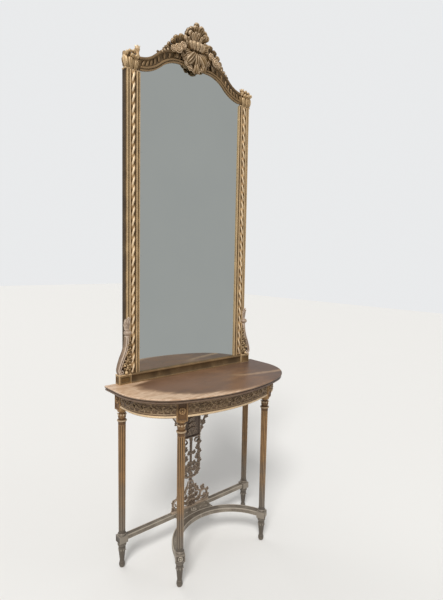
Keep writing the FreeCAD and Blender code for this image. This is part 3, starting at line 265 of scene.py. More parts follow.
def streaked_stone():
    material, kit, surface, place = new_material("streaked_stone")
    x, y, z = kit.axes(place)
    wander = kit.noise(place, 6, 5) - 0.5
    cloud = kit.noise(place, 3.5, 3, 0.5, 0.6)
    streak = kit.noise(kit.stretch(place, (5, 17, 17), (0, 0, -0.1)), 1, 6, 0.62, 1.2)
    fine = kit.noise(kit.stretch(place, (20, 90, 90), (0, 0, -0.12)), 1, 4, 0.6, 0.8)
    body = kit.blend(kit.between(cloud, 0.35, 0.65), rgb(121, 90, 69), rgb(105, 79, 61))
    across = kit.between(x + wander * 0.2, -0.15, 0.1)
    warm = kit.blend(kit.between(streak, 0.42, 0.66) * (0.35 + across * 0.5), body, rgb(130, 97, 71))
    dusky = kit.blend(kit.between(x + wander * 0.25, 0.18, 0.36) * 0.7, warm, rgb(84, 66, 57))
    veined = kit.blend(kit.between(fine, 0.6, 0.7) * 0.3, dusky, rgb(156, 130, 110))
    thread = 1 - kit.between(abs(y + x * 0.27 - 0.03 + wander * 0.1), 0.004, 0.026)
    threaded = kit.blend(thread * kit.between(x, 0.08, 0.2) * 0.6, veined, rgb(176, 144, 112))
    ring = (x / 0.455) ** 2 + ((y - 0.09) / 0.3) ** 2 + wander * 0.25 + (streak - 0.5) * 0.4 - x * 1.1
    behind = kit.between(y + wander * 0.06, 0.125, 0.15) * (1 - kit.between(x, -0.12, 0.02))
    sandy = kit.between(ring + behind * 0.22, 0.8, 1.06)
    sanded = kit.blend(sandy * 0.9, threaded, rgb(196, 162, 130))
    creamy = kit.blend(kit.between(fine * sandy, 0.42, 0.56) * 0.75, sanded, rgb(218, 190, 162))
    # The slab's edge below its top face is painted dark brown, a painted shade.
    edge = 1 - kit.between(z, EDGE_SHADE_FOOT, EDGE_SHADE_TOP)
    kit.feed(surface, {"Base Color": kit.blend(edge * 0.85, creamy, rgb(66, 43, 26)),
                       "Roughness": 0.24 + streak * 0.16 + fine * 0.06,
                       "Normal": kit.bump(0.05, 0.001, fine)})
    return material


STONE = streaked_stone()
print("stone", len(STONE.node_tree.nodes), "nodes")

# %% [markdown]
# Silvered plate, bare wood and metals
#
# Old silvering is a little grey and loses its polish in specks near the frame. The boards behind are
# raw pine; straps are blackened iron, the hanging plates dull brass, and the screws aged steel.

# %% Silvered plate
def silvered_plate():
    material, kit, surface, place = new_material("silvered_plate")
    x, _, z = kit.axes(place)
    specks = kit.noise(place, 90, 4)
    cloud = kit.noise(place, 3, 3)
    edge = kit.between(abs(x), 0.2, 0.3)
    foot = 1 - kit.between(z, 0.905, 1.02)
    aged = kit.between(specks, 0.64, 0.7) * kit.between(edge + foot + (cloud - 0.5), 0.7, 1.2)
    silver = kit.blend(cloud, rgb(222, 227, 223), rgb(230, 234, 229))
    kit.feed(surface, {"Base Color": kit.blend(aged * 0.55, silver, rgb(120, 108, 92)),
                       "Roughness": 0.035 + aged * 0.3, "Metallic": 1.0})
    return material


SILVER = silvered_plate()
print("plate", SILVER.name)


# %% Bare wood and metals
def bare_pine():
    material, kit, surface, place = new_material("bare_pine")
    grain = kit.noise(kit.stretch(place, (60, 60, 4)), 1, 4, 0.6, 0.4)
    knots = kit.noise(kit.stretch(place, (9, 9, 3)), 1, 2, 0.5, 1.5)
    body = kit.blend(kit.between(grain, 0.35, 0.7), rgb(150, 116, 80), rgb(112, 82, 54))
    kit.feed(surface, {"Base Color": kit.blend(kit.between(knots, 0.62, 0.72) * 0.6, body, rgb(84, 58, 38)),
                       "Roughness": 0.62 + grain * 0.2, "Normal": kit.bump(0.3, 0.001, grain)})
    return material


def old_metal(name, clean, tarnish, metal, rough):
    material, kit, surface, place = new_material(name)
    patches = kit.noise(place, 60, 5)
    mixed = kit.blend(kit.between(patches, 0.4, 0.64), rgb(*clean), rgb(*tarnish))
    kit.feed(surface, {"Base Color": mixed, "Roughness": rough + patches * 0.25, "Metallic": metal,
                       "Normal": kit.bump(0.25, 0.0008, kit.noise(place, 420, 2))})
    return material


PINE = bare_pine()
IRON = old_metal("black_iron", (58, 54, 52), (78, 52, 38), 0.8, 0.5)
BRASS = old_metal("dull_brass", (190, 160, 96), (120, 94, 54), 1.0, 0.3)
STEEL = old_metal("aged_steel", (150, 146, 140), (110, 92, 76), 1.0, 0.35)
print("materials", len(bpy.data.materials))

# %% Finishes of the solids that stay
KEPT = {"table_top": STONE, "mirror_plate": SILVER, "back_rail": TABLE_GOLD, "glue_blocks": PINE,
        "apron_dowels": PINE, "backboard_lower": PINE, "backboard_upper": PINE, "back_battens": PINE,
        "frame_straps": IRON, "wall_plates": BRASS, "frame_screws": STEEL,
        "apron_front": APRON_GILT, "apron_left": APRON_GILT, "apron_right": APRON_GILT}
for node, material in KEPT.items():
    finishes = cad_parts[node].data.materials
    finishes.clear()
    finishes.append(material)
print("kept solids", len(KEPT))

# %% [markdown]
# Carver's helpers
#
# Carving repeats a few forms: turned rounds, mouldings drawn along a line, leaves and scrolls. Each
# form is made once as a small mesh and then set in place as often as needed. The first helpers turn
# a bmesh into such a form, put it into a piece, and finish the piece.

# %% Forms and pieces
def spin(angle, axis="Z"):
    return Matrix.Rotation(radians(angle), 4, axis)


def sized(size):
    """Scaling by one or three sizes."""
    return Matrix.Diagonal((*((size,) * 3 if isinstance(size, (int, float)) else size), 1))


def at(x=0, y=0, z=0, turn=0, size=1):
    """A place: moved in millimetres, turned in degrees about the upright axis, and scaled."""
    return Matrix.Translation((x * MM, y * MM, z * MM)) @ spin(turn) @ sized(size)


def facing(x, y, z, turn=0, tip=0, size=1, yaw=0):
    """A place on the front, in millimetres: +Y of the form points up, +Z to the viewer's side.

    turn leans it to the right, tip nods it forward and yaw turns it to the right, in degrees.
    """
    return (Matrix.Translation(Vector((x, y, z)) * MM) @ spin(yaw) @ spin(turn, "Y") @ spin(tip, "X")
            @ spin(90, "X") @ sized(size))


def clean(bm):
    """Merges doubled points and turns all faces outward."""
    bmesh.ops.remove_doubles(bm, verts=bm.verts, dist=1e-6)
    bmesh.ops.recalc_face_normals(bm, faces=bm.faces)


def pour(bm, name="form"):
    """Turns a bmesh into a mesh."""
    mesh = bpy.data.meshes.new(name)
    bm.to_mesh(mesh)
    bm.free()
    return mesh


def cast(bm):
    """A clean form, ready to be set in place."""
    clean(bm)
    return pour(bm)


def put(bm, form, place=Matrix.Identity(4)):
    """Adds a form to a piece at a place."""
    before = len(bm.verts)
    bm.from_mesh(form)
    bm.verts.ensure_lookup_table()
    bmesh.ops.transform(bm, matrix=place, verts=bm.verts[before:])


def scatter(bm, form, spots, depth, stagger=0, side=1):
    """Sets a form at (x, z, lean, size) spots, each a little nearer or farther by the stagger."""
    for k, (x, z, lean, size) in enumerate(spots):
        put(bm, form, facing(side * x, depth + stagger * (k % 3 - 1), z, side * lean, 0, size))


def painted_depth_shade(near, far, dark=1.0, pale=0.0):
    """Painted shade that grows from a painted highlight of -pale to dark between two distances from the
    front, in millimetres.
    """
    return lambda spot: (dark + pale) * min(1.0, max(0.0, (spot.y / MM - near) / (far - near))) - pale


def mark_relief(bm, dusk=None, reach=0.003):
    """Stores how sharply each point stands out or lies in, less any painted shade, for the wear of the
    gilding and its painted shade and highlight.
    """
    layer = bm.verts.layers.float.new("relief")
    bm.normal_update()
    raw = {}
    for vert in bm.verts:
        bend = 0.0
        for edge in vert.link_edges:
            step = edge.other_vert(vert).co - vert.co
            bend -= step.dot(vert.normal) / max(step.length_squared, 1e-9)
        raw[vert] = max(-1.0, min(1.0, 2 * reach * bend / max(len(vert.link_edges), 1)))
    for vert in bm.verts:
        near = [raw[edge.other_vert(vert)] for edge in vert.link_edges]
        vert[layer] = 0.5 * raw[vert] + 0.5 * sum(near) / max(len(near), 1) - (dusk(vert.co) if dusk else 0)


def finish_piece(kind, base, bm, material, slot, replace=True, sharp=50, dusk=None):
    """Makes the piece's object and puts it in the place of the solid that it is named after."""
    clean(bm)
    mark_relief(bm, dusk)
    name = f"{kind}_{base}"
    mesh = pour(bm, name)
    for face in mesh.polygons:
        face.use_smooth = True
    mesh.set_sharp_from_angle(angle=radians(sharp))
    mesh.materials.append(material)
    piece = bpy.data.objects.new(name, mesh)
    bpy.context.collection.objects.link(piece)
    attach(piece, "root")
    if replace:
        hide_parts(base)


def pair(base, bm, material, slot, kind="carved", **how):
    """The right-hand piece and its mirror image on the left."""
    other = bm.copy()
    bmesh.ops.transform(other, matrix=Matrix.Scale(-1, 4, (1, 0, 0)), verts=other.verts)
    faces = len(bm.faces)
    for side, half in (("right", bm), ("left", other)):
        finish_piece(kind, f"{base}_{side}", half, material, slot, **how)
    print(f"{base}: {faces} faces a side")


print("helpers for forms ready")

# %% [markdown]
# Lathe, mould and leaf
#
# A turned round is a profile spun about an axis. A moulding is a closed section extruded step by
# step, each new ring carried to the next place on the line. A leaf is a grid that is bent along its
# spine, cut into lobes at its edge and given a wall.

# %% Rounds and boxes
def lathe(profile, steps=32):
    """Spins a (radius, height) profile in millimetres about the upright axis."""
    bm = bmesh.new()
    points = [bm.verts.new((radius * MM, 0, height * MM)) for radius, height in profile]
    edges = [bm.edges.new(ends) for ends in zip(points, points[1:])]
    bmesh.ops.spin(bm, geom=points + edges, cent=(0, 0, 0), axis=(0, 0, 1), dvec=(0, 0, 0),
                   angle=2 * pi, steps=steps, use_merge=True)
    return cast(bm)


def ball(radius, across, up):
    bm = bmesh.new()
    bmesh.ops.create_uvsphere(bm, u_segments=across, v_segments=up, radius=radius * MM)
    return cast(bm)


def box(low, high):
    """A box between two corners, in millimetres."""
    bm = bmesh.new()
    bmesh.ops.create_cube(bm, size=1)
    low, high = Vector(low) * MM, Vector(high) * MM
    bmesh.ops.transform(bm, matrix=Matrix.Translation((low + high) / 2) @ sized(high - low), verts=bm.verts)
    return bm


def soften(bm, edges, rounding, steps):
    """Rounds edges off."""
    bmesh.ops.bevel(bm, geom=edges, offset=rounding * MM, offset_type="OFFSET", affect="EDGES",
                    segments=steps, profile=0.5, material=-1)


def cushion(low, high, rounding, steps=3):
    """A box with rounded edges."""
    bm = box(low, high)
    soften(bm, bm.edges[:], rounding, steps)
    return cast(bm)


def of_kind(geometry, kind):
    return [item for item in geometry if isinstance(item, kind)]


def thick_outline(bm, corners, push):
    """Fills an outline of corners and pushes the face out to a slab, in millimetres."""
    face = bm.faces.new([bm.verts.new(Vector(corner) * MM) for corner in corners])
    grown = bmesh.ops.extrude_face_region(bm, geom=[face])["geom"]
    bmesh.ops.translate(bm, vec=[step * MM for step in push], verts=of_kind(grown, bmesh.types.BMVert))


# %% Moulding
def mould(section, places):
    """Draws a closed section (across, out) in millimetres along a row of places."""
    bm = bmesh.new()
    ring = [bm.verts.new((across * MM, 0, out * MM)) for across, out in section]
    edges = [bm.edges.new((a, b)) for a, b in zip(ring, ring[1:] + ring[:1])]
    bmesh.ops.transform(bm, matrix=places[0], verts=ring)
    first = edges
    for here, following in zip(places, places[1:]):
        made = bmesh.ops.extrude_edge_only(bm, edges=edges)["geom"]
        edges = of_kind(made, bmesh.types.BMEdge)
        bmesh.ops.transform(bm, matrix=following @ here.inverted(), verts=of_kind(made, bmesh.types.BMVert))
    for loop in (first, edges):
        bmesh.ops.edgeloop_fill(bm, edges=loop)
    return cast(bm)


def places_along(points, outward=(0, -1, 0), sizes=None, twists=None, side=None):
    """Places whose Y runs along a line, Z points outward and X lies across, or along side."""
    outward = Vector(outward)
    rows = []
    for index, point in enumerate(points):
        before, after = points[max(index - 1, 0)], points[min(index + 1, len(points) - 1)]
        along = (after - before).normalized()
        out = (outward - along * outward.dot(along)).normalized()
        if side:
            out = Vector(side).cross(along).normalized()
        turn = Matrix((along.cross(out), along, out)).transposed().to_4x4()
        size = sizes[index] if sizes else 1.0
        twist = Matrix.Rotation(twists[index], 4, "Y") if twists else Matrix.Identity(4)
        rows.append(Matrix.Translation(point) @ turn @ twist @ Matrix.Scale(size, 4))
    return rows


def taper(count, start, middle, end):
    """Sizes that run from start through middle to end."""
    shares = (k / (count - 1) for k in range(count))
    return [start + (middle - start) * 2 * t if t < 0.5 else middle + (end - middle) * (2 * t - 1)
            for t in shares]


def draw(bm, section, line, *tapering, **how):
    """Draws a section along a line into a piece; three sizes taper it from start to end."""
    if tapering:
        how["sizes"] = taper(len(line), *tapering)
    put(bm, mould(section, places_along(line, **how)))


def oval(width, depth, steps=10):
    """A round or oval section."""
    return [(width / 2 * cos(a), depth / 2 * sin(a))
            for a in (2 * pi * k / steps for k in range(steps))]


def upright(x, y, foot, top, steps):
    """Points of an upright line, in millimetres."""
    return [Vector((x, y, foot + (top - foot) * k / steps)) * MM for k in range(steps + 1)]


def spiral(middle, start_radius, end_radius, start, sweep, steps, y):
    """Points of a spiral that faces the front, in millimetres; degrees run from +X to +Z."""
    points = []
    for k in range(steps + 1):
        share = k / steps
        radius = start_radius + (end_radius - start_radius) * share
        angle = radians(start + sweep * share)
        points.append(Vector((middle[0] + radius * cos(angle), y,
                              middle[1] + radius * sin(angle))) * MM)
    return points


def through(points, steps, y):
    """A smooth line through (x, z) points in millimetres."""
    full = [points[0], *points, points[-1]]
    line = []
    for a, b, c, d in zip(full, full[1:], full[2:], full[3:]):
        for k in range(steps):
            t = k / steps
            line.append([0.5 * (2 * q + (r - p) * t + (2 * p - 5 * q + 4 * r - s) * t ** 2
                                + (3 * q - p - 3 * r + s) * t ** 3) for p, q, r, s in zip(a, b, c, d)])
    return [Vector((x, y, z)) * MM for x, z in [*line, points[-1]]]


# %% Leaf
def leaf(length, width, lobes=3, lift=20, curl=60, cup=0.18, notch=0.3, wall=1.4, rows=22, across=10,
         bend=2.0, blunt=0.75):
    """An acanthus leaf that grows along +Y and opens towards +Z, in millimetres and degrees."""
    bm = bmesh.new()
    bmesh.ops.create_grid(bm, x_segments=across, y_segments=rows, size=0.5)
    spine, height, spread = 0.0, 0.0, {}
    for row in range(rows + 1):
        share = row / rows
        angle = radians(lift + curl * share ** bend)
        spread[row] = (spine, height, angle)
        spine += length / rows * cos(angle)
        height += length / rows * sin(angle)
    for vert in bm.verts:
        row = round((vert.co.y + 0.5) * rows)
        share, side = row / rows, vert.co.x * 2
        body = sin(pi * min(1.0, 0.16 + 0.84 * share ** 0.85)) ** blunt
        wave = abs(sin(pi * lobes * (share + 0.1 * abs(side)))) if lobes else 1.0
        half = width / 2 * max(body, 0.03) * (1 - notch * (1 - wave) * abs(side))
        ribs = 0.05 * width * cos(2 * pi * lobes * share) * abs(side) if lobes else 0.0
        rise = cup * width * side ** 2 + ribs - 0.07 * width * exp(-(side * 4) ** 2) * (1 - share)
        along, up, angle = spread[row]
        vert.co = Vector((side * half, along - rise * sin(angle),
                          up + rise * cos(angle))) * MM
    bmesh.ops.recalc_face_normals(bm, faces=bm.faces)
    bmesh.ops.solidify(bm, geom=bm.faces[:], thickness=wall * MM)
    return cast(bm)


def lobe(length, width, lift=6, curl=110, thick=0.75, start=0.5, rows=14, bend=4.0, veins=0):
    """A fat rounded lobe that grows along +Y and curls towards +Z; veins groove it lengthwise."""
    points, sizes, along, up = [], [], 0.0, 0.0
    for row in range(rows + 1):
        share = row / rows
        points.append(Vector((0, along, up)) * MM)
        swell = start + (1 - start) * sin(pi / 2 * min(1.0, share / 0.65))
        tip = sqrt(max(0.0, 1 - max(0.0, (share - 0.72) / 0.28) ** 2))
        sizes.append(max(swell * tip, 0.06))
        angle = radians(lift + curl * share ** bend)
        along += length / rows * cos(angle)
        up += length / rows * sin(angle)
    section = oval(width, width * thick, 24 if veins else 10)
    if veins:
        section = [(x, z * (1 + 0.2 * cos(2 * pi * veins * x / width))) for x, z in section]
    return mould(section, places_along(points, sizes=sizes, side=(1, 0, 0)))


def lobed_leaf(length, width, lift=4, curl=90):
    """A thick leaf of three veined lobes: a broad middle one and two that spread beside it."""
    bm = bmesh.new()
    put(bm, lobe(length, width * 0.66, lift, curl, thick=0.5, veins=3))
    wing = lobe(length * 0.72, width * 0.5, lift, curl, thick=0.55, veins=2)
    for sign in (-1, 1):
        put(bm, wing, at(sign * width * 0.14, 0, 0, -24 * sign))
    return cast(bm)


def bloom(radius, rings=3):
    """An open rose that faces +Z; each inner ring of petals stands steeper."""
    bm = bmesh.new()
    for ring in range(rings):
        share = 1 - 0.7 * ring / rings
        petal = leaf(radius * 0.95 * share, radius * 1.3 * share, lobes=0, lift=4 + 30 * ring,
                     curl=62 - 22 * ring, cup=0.16, wall=radius * 0.1, rows=8, across=6, bend=1.5, blunt=0.42)
        for k in range(6):
            put(bm, petal, at(turn=60 * (k + 0.5 * ring)) @ at(0, radius * 0.06, radius * 0.06 * ring))
    put(bm, ball(radius * 0.24, 10, 7), at(0, 0, radius * 0.4))
    return cast(bm)


print("lathe, moulding and leaf ready")

# %% [markdown]
# Uprights
#
# Each upright is one long moulding: an outer bead, a hollow, a fine bead, the channel of the twisted
# ribbon, an inner bead and the thin edge at the glass. One section drawn straight up gives them all,
# so its corners stay crisp over the whole height.

# %% Uprights
SIGHT, STILE_OUT, WALL, FACE = 296.0, 367.5, 210.0, 175.0
BACK = WALL - 0.5
PLINTH_TOP, STILE_TOP = 905.0, 2229.0


def half_round(middle, level, radius, steps=6):
    """Points over a bead, from its high side to its low side."""
    return [(middle + radius * cos(pi * k / steps), level + radius * sin(pi * k / steps))
            for k in range(steps + 1)]


def stile_section():
    outer = [(STILE_OUT, 0), (STILE_OUT, 20), (STILE_OUT - 2.4, 22.5), (STILE_OUT - 3.6, 26),
             *half_round(STILE_OUT - 8.7, 29.5, 5)]
    hollow = [(353, 28.2), (351.2, 28.2)]
    fine = half_round(346.4, 30.6, 3.8, 5)
    channel = [(340.5, 26), (320.5, 26), (320, 29.5)]
    inner = [(317, 29), *half_round(311.8, 29.6, 4.8)]
    sight = [
        (306, 26.8), (304.6, 26.8), (303, 29.6), (299, 31), (SIGHT, 30.2), (SIGHT, 23), (304, 23), (304, 0)]
    return [(x - SIGHT, out) for x, out in outer + hollow + fine + channel + inner + sight]


stile = bmesh.new()
draw(stile, stile_section(), upright(SIGHT, WALL, PLINTH_TOP, STILE_TOP, 8))
# The outer side face of each upright is painted dark, a painted shade.
pair("stile", stile, FRAME_GOLD, "frame_gilt", sharp=38,
     dusk=lambda spot: 1.0 if abs(spot.x) > (STILE_OUT - 3) * MM and spot.y > 184 * MM else 0)

# %% [markdown]
# Twisted ribbon
#
# The ribbon is a section with two lobes that turns as it climbs. Half of it lies in the channel, so
# only slanting strokes show. Turning the section on its way up is simpler than winding two strands.

# %% Twisted ribbon
RIBBON_X, RIBBON_TURN, RIBBON_STEPS = 330.5, 88.0, 300


def ribbon_section(radius=9.6, count=18):
    angles = [2 * pi * k / count for k in range(count)]
    return [(radius * cos(a) * (0.52 + 0.48 * abs(cos(a)) ** 0.7),
             radius * 0.8 * sin(a) * (0.52 + 0.48 * abs(cos(a)) ** 0.7)) for a in angles]


ribbon = bmesh.new()
line = upright(RIBBON_X, FACE + 7.5, PLINTH_TOP + 3, STILE_TOP, RIBBON_STEPS)
twists = [-2 * pi * (point.z / MM - PLINTH_TOP) / RIBBON_TURN for point in line]
draw(ribbon, ribbon_section(), line, twists=twists)
# Painted shade darkens the ribbon's hollows, and a painted highlight lightens its front.
pair("rope", ribbon, CREAM_GOLD, "frame_gilt", sharp=38, dusk=painted_depth_shade(175, 183, 0.65, 0.2))

# %% [markdown]
# Arched head
#
# The head follows an ogee: a round over the middle, then a hollow that runs down to the corner. The
# moulding is drawn along that line, and slanting ovals are set in its hollow frieze.

# %% Arched head
ARCH_START, ARCH_TURN, ARCH_END = 310.0, 185.0, 80.0
SIGHT_TOP, ARCH_RISE = 2239.0, 89.0
ARCH_TOP = SIGHT_TOP + ARCH_RISE
STEEP = 2 * atan(ARCH_RISE / (ARCH_START - ARCH_END))
HOLLOW = (ARCH_START - ARCH_TURN) / sin(STEEP)
ROUND = (ARCH_TURN - ARCH_END) / sin(STEEP)
FRIEZE_RISE = 21


def ogee(x):
    """Height of the sight line at a distance from the middle."""
    if x < ARCH_END:
        return ARCH_TOP
    if x < ARCH_TURN:
        return ARCH_TOP - ROUND + sqrt(ROUND ** 2 - (x - ARCH_END) ** 2)
    return SIGHT_TOP + HOLLOW - sqrt(HOLLOW ** 2 - (ARCH_START - x) ** 2)


def head_section():
    sight = [(8, 0), (8, 23), (0, 23), (0, 28.5), (2, 30), (6, 29.5), (7.5, 26.8)]
    bead = half_round(12.8, 28.4, 4.8)[::-1]
    frieze = [(18.5, 25.5), (24, 23.2), (31, 22.6), (38, 24.2), (42.5, 27.5)]
    outer = half_round(49.6, 29, 6.2)[::-1]
    return [(-w, out) for w, out in sight + bead + frieze + outer + [(56, 27), (56, 0)]]


def ogee_line(first, last, steps, rise=0.0, depth=WALL):
    """Points along the sight line, moved outwards by a rise square to it."""
    points = []
    for k in range(steps + 1):
        x = first + (last - first) * k / steps
        slope = (ogee(x + 0.5) - ogee(x - 0.5)) if x > 0.5 else 0.0
        square = Vector((-slope, 0, 1)).normalized()
        points.append((Vector((x, depth, ogee(x))) + square * rise) * MM)
    return points


head = bmesh.new()
draw(head, head_section(), ogee_line(0, SIGHT, 60))
drop = lobe(27, 11, 8, -18, thick=0.55, start=0.6, bend=1.2)
for x in range(88, 286, 24):
    spot, ahead_spot = ogee_line(x, x + 1, 1, FRIEZE_RISE, FACE + 10)
    lean = degrees(atan2(spot.z - ahead_spot.z, ahead_spot.x - spot.x))
    put(head, drop, facing(*(c / MM for c in spot), lean - 32))
pair("head_rail", head, HEAD_BRONZE, "frame_gilt", sharp=38)

# %% [markdown]
# Corner blocks and buds
#
# Fat veined lobes stand up side by side over each corner, and short curls roll forward at their tips.
# Rounded blocks behind them leave no gap. A small bud stands on the inner side of each block; the
# right one is worn down.

# %% Corner blocks
LOBE_FOOT = 2234

corner = bmesh.new()
put(corner, cushion((303, 184, 2232), (368, BACK, 2293), 11))
put(corner, cushion((307, 192, 2240), (371, BACK, 2306), 8))
put(corner, ball(30, 20, 14), at(336, 196, 2258, size=(1.1, 0.45, 1.1)))
put(corner, cushion((299, 179, STILE_TOP), (371, BACK, STILE_TOP + 6), 2.5))
pleat = lobe(66, 31, 20, -52, thick=0.6, start=0.62, bend=1.3, veins=3)
for x, lean, depth, size in ((312, -8, 190, 0.84), (333, 0, 186, 0.96), (354, 14, 190, 0.88),
                             (322, -6, 180, 0.68), (343, 6, 180, 0.74)):
    put(corner, pleat, facing(x, depth, LOBE_FOOT, lean, 0, size))
for depth, yaw in ((183, 40), (190, 70)):
    put(corner, pleat, facing(360, depth, LOBE_FOOT, 12, 0, 0.8, yaw))
tip_curl = lobe(26, 22, 24, 84, thick=0.75, bend=1.5, veins=2)
for x, z, lean, depth in ((314, 2283, -12, 186), (331, 2294, -4, 183), (348, 2290, 12, 184),
                          (361, 2281, 26, 182), (322, 2272, -6, 176), (341, 2272, 10, 176)):
    put(corner, tip_curl, facing(x, depth, z, lean, 0, 0.85))
# Painted shade darkens the block towards the back, and its outer side is painted pale, a painted highlight.
pair("corner_block", corner, FRAME_GOLD, "frame_gilt",
     dusk=lambda spot: painted_depth_shade(172, 190, 0.7, 0.1)(spot) - (0.6 if abs(spot.x) > 366 * MM else 0))

# %% Buds on the corners
BUD_X, BUD_MIDDLE, BUD_FOOT, WORN_SHARE = 311, 2304, 2284 * MM, 0.62

bud = bmesh.new()
put(bud, lathe([
    (0, -20), (9, -20), (9.5, -6), (8, 2), (8.5, 8), (11, 14), (12, 19), (10.6, 24), (6, 28.5),
    (0, 30.5)], 20), at(BUD_X, 182, BUD_MIDDLE))
sepal = leaf(26, 14, lobes=0, lift=11, curl=10, cup=-0.3, wall=1.8, rows=8, across=6, blunt=0.4)
for k in range(5):
    put(bud, sepal, at(BUD_X, 182, 0, 72 * k + 20) @ facing(0, -7, BUD_MIDDLE + 6))
pair("corner_bud", bud, CREAM_GOLD, "frame_gilt", sharp=38)
worn = Matrix.Translation((0, 0, BUD_FOOT)) @ Matrix.Diagonal((1, 1, WORN_SHARE, 1))
bpy.data.objects["carved_corner_bud_right"].data.transform(worn @ Matrix.Translation((0, 0, -BUD_FOOT)))
print("right bud worn down to", WORN_SHARE)

# %% [markdown]
# Crest
# The crest is a shaped board under a heap of carving: a ribbed bowl in the middle, leaves that
# rise from it, a leaf fan that hangs over the glass, and roses that trail down both sides. Each
# cluster is one piece, made from a few leaf, lobe and rose forms that are set again and again. The
# leaves are blunt and their tips curl forward, so tips catch the light over dark hollows. A painted
# shade darkens each cluster towards the back, and a painted highlight lightens its foremost parts.

# %% Crest board
STAGGER = 2.5


def heap(bm, form, spots, depth):
    """Sets carving at spots, a little nearer or farther each time."""
    scatter(bm, form, spots, depth, STAGGER)


def finish_crest(part, bm, dusk):
    finish_piece("carved", f"crest_{part}", bm, CREST_GOLD, "frame_gilt", dusk=dusk)


def crest_board():
    bm = bmesh.new()
    half = [(0, 2512), (24, 2500), (42, 2482), (58, 2462), (76, 2446), (98, 2434), (124, 2410), (150, 2388),
            (178, 2366), (200, 2350), (200, 2342), (150, 2360), (100, 2370), (0, 2374)]
    thick_outline(bm, [(x, 199, z) for x, z in half + [(-x, z) for x, z in half[-2:0:-1]]], (0, -20, 0))
    bmesh.ops.recalc_face_normals(bm, faces=bm.faces)
    soften(bm, bm.edges[:], 4, 3)
    return cast(bm)


rising_lobe = lobe(48, 30, 10, 85, thick=0.6, bend=3, veins=3)
slim_lobe = lobe(44, 15, 12, 60, thick=0.6, bend=3, veins=2)
broad = lobe(40, 32, 10, 80, thick=0.55, bend=3, veins=3)
belly = lobe(62, 34, 22, -62, thick=0.6, bend=1.4, veins=3)
petal = lobe(40, 22, 18, -50, thick=0.6, bend=1.4, veins=2)
curled, rose = lobed_leaf(46, 34), bloom(22)
board = bmesh.new()
put(board, crest_board())
heap(board, rising_lobe, [
    (62, 2424, 30, 0.8), (-62, 2424, -30, 0.8), (132, 2378, 56, 0.6), (-132, 2378, -56, 0.6),
    (158, 2360, 58, 0.5), (-158, 2360, -58, 0.5)], 188)
finish_crest("board", board, painted_depth_shade(170, 190, 0.7, 0.1))

# %% Ribbed bowl
BOWL_AXIS, BOWL_DEPTH = 184, 0.55

bowl = bmesh.new()
bowl_line = ((36, 2408), (45, 2414), (51, 2422), (53, 2430), (51, 2437), (44, 2442))
put(bowl, lathe([(0, 2402), (30, 2404), *[(radius - 5, z) for radius, z in bowl_line], (0, 2442)], 28),
    at(0, BOWL_AXIS, 0, size=(1, BOWL_DEPTH, 1)))
for k in range(7):
    turned = radians(-75 + 25 * k)
    line = [Vector((radius * sin(turned), BOWL_AXIS - radius * BOWL_DEPTH * cos(turned), z)) * MM
            for radius, z in bowl_line]
    outward = (sin(turned), -cos(turned), 0)
    draw(bowl, oval(20, 15, 8), line, outward=outward, sizes=[0.5, 0.8, 1, 1.05, 0.95, 0.5])
heap(bowl, petal, [(-36, 2400, 246, 0.8), (38, 2402, 112, 0.75)], 176)
finish_crest("shell", bowl, painted_depth_shade(162, 186, 0.75, 0.05))

# %% Rising leaves
rising = bmesh.new()
heap(rising, rising_lobe, [
    (0, 2486, 0, 1.05), (-14, 2468, -28, 1.0), (-26, 2456, -60, 0.95), (32, 2462, 54, 1.05),
    (30, 2470, 34, 1.05), (-22, 2462, -44, 1.0), (-34, 2440, -78, 0.95), (40, 2444, 84, 0.85),
    (-40, 2424, -96, 0.75), (44, 2426, 104, 0.7)], 184)
heap(rising, rising_lobe, [
    (10, 2470, 18, 1.15), (-4, 2474, -10, 0.95), (24, 2456, 42, 1.0), (-20, 2452, -42, 0.9)], 177)
heap(rising, slim_lobe, [
    (-22, 2438, -16, 0.95), (-10, 2440, -6, 1.1), (3, 2440, 4, 1.1), (16, 2438, 14, 0.9)], 170)
heap(rising, curled, [(-36, 2430, -62, 0.85), (40, 2432, 66, 0.85)], 172)
put(rising, cushion((-34, 178, 2430), (38, 198, 2484), 9))
finish_crest("bloom", rising, painted_depth_shade(162, 186, 0.75, 0.05))

# %% Hanging leaf fan
fan = bmesh.new()
put(fan, ball(10, 20, 12), at(0, 177, 2355, size=(4.9, 0.95, 3.9)))
heap(fan, belly, [
    (-18, 2394, 238, 0.85), (22, 2396, 118, 0.85), (-26, 2372, 211, 0.95), (28, 2374, 150, 0.95),
    (-42, 2384, 222, 0.8), (44, 2386, 138, 0.8), (0, 2360, 183, 1.0)], 179)
heap(fan, belly, [(-12, 2392, 219, 1.15), (16, 2394, 142, 1.1), (3, 2398, 180, 1.05)], 171)
for x, z, size in ((-64, 2354, 0.6), (-55, 2336, 0.75), (-36, 2322, 0.85), (-12, 2315, 0.75), (11, 2317, 0.7),
                   (32, 2332, 0.66)):
    put(fan, rose, facing(x, 176, z, x, 0, size))
# Painted shade darkens the fan towards the back; its hindmost parts are painted light again, so their
# reflection in the glass is lit rather than dark.
finish_crest("leaf", fan, lambda spot: painted_depth_shade(162, 176, 0.55, 0.08)(spot) - painted_depth_shade(178, 183, 0.9)(spot))

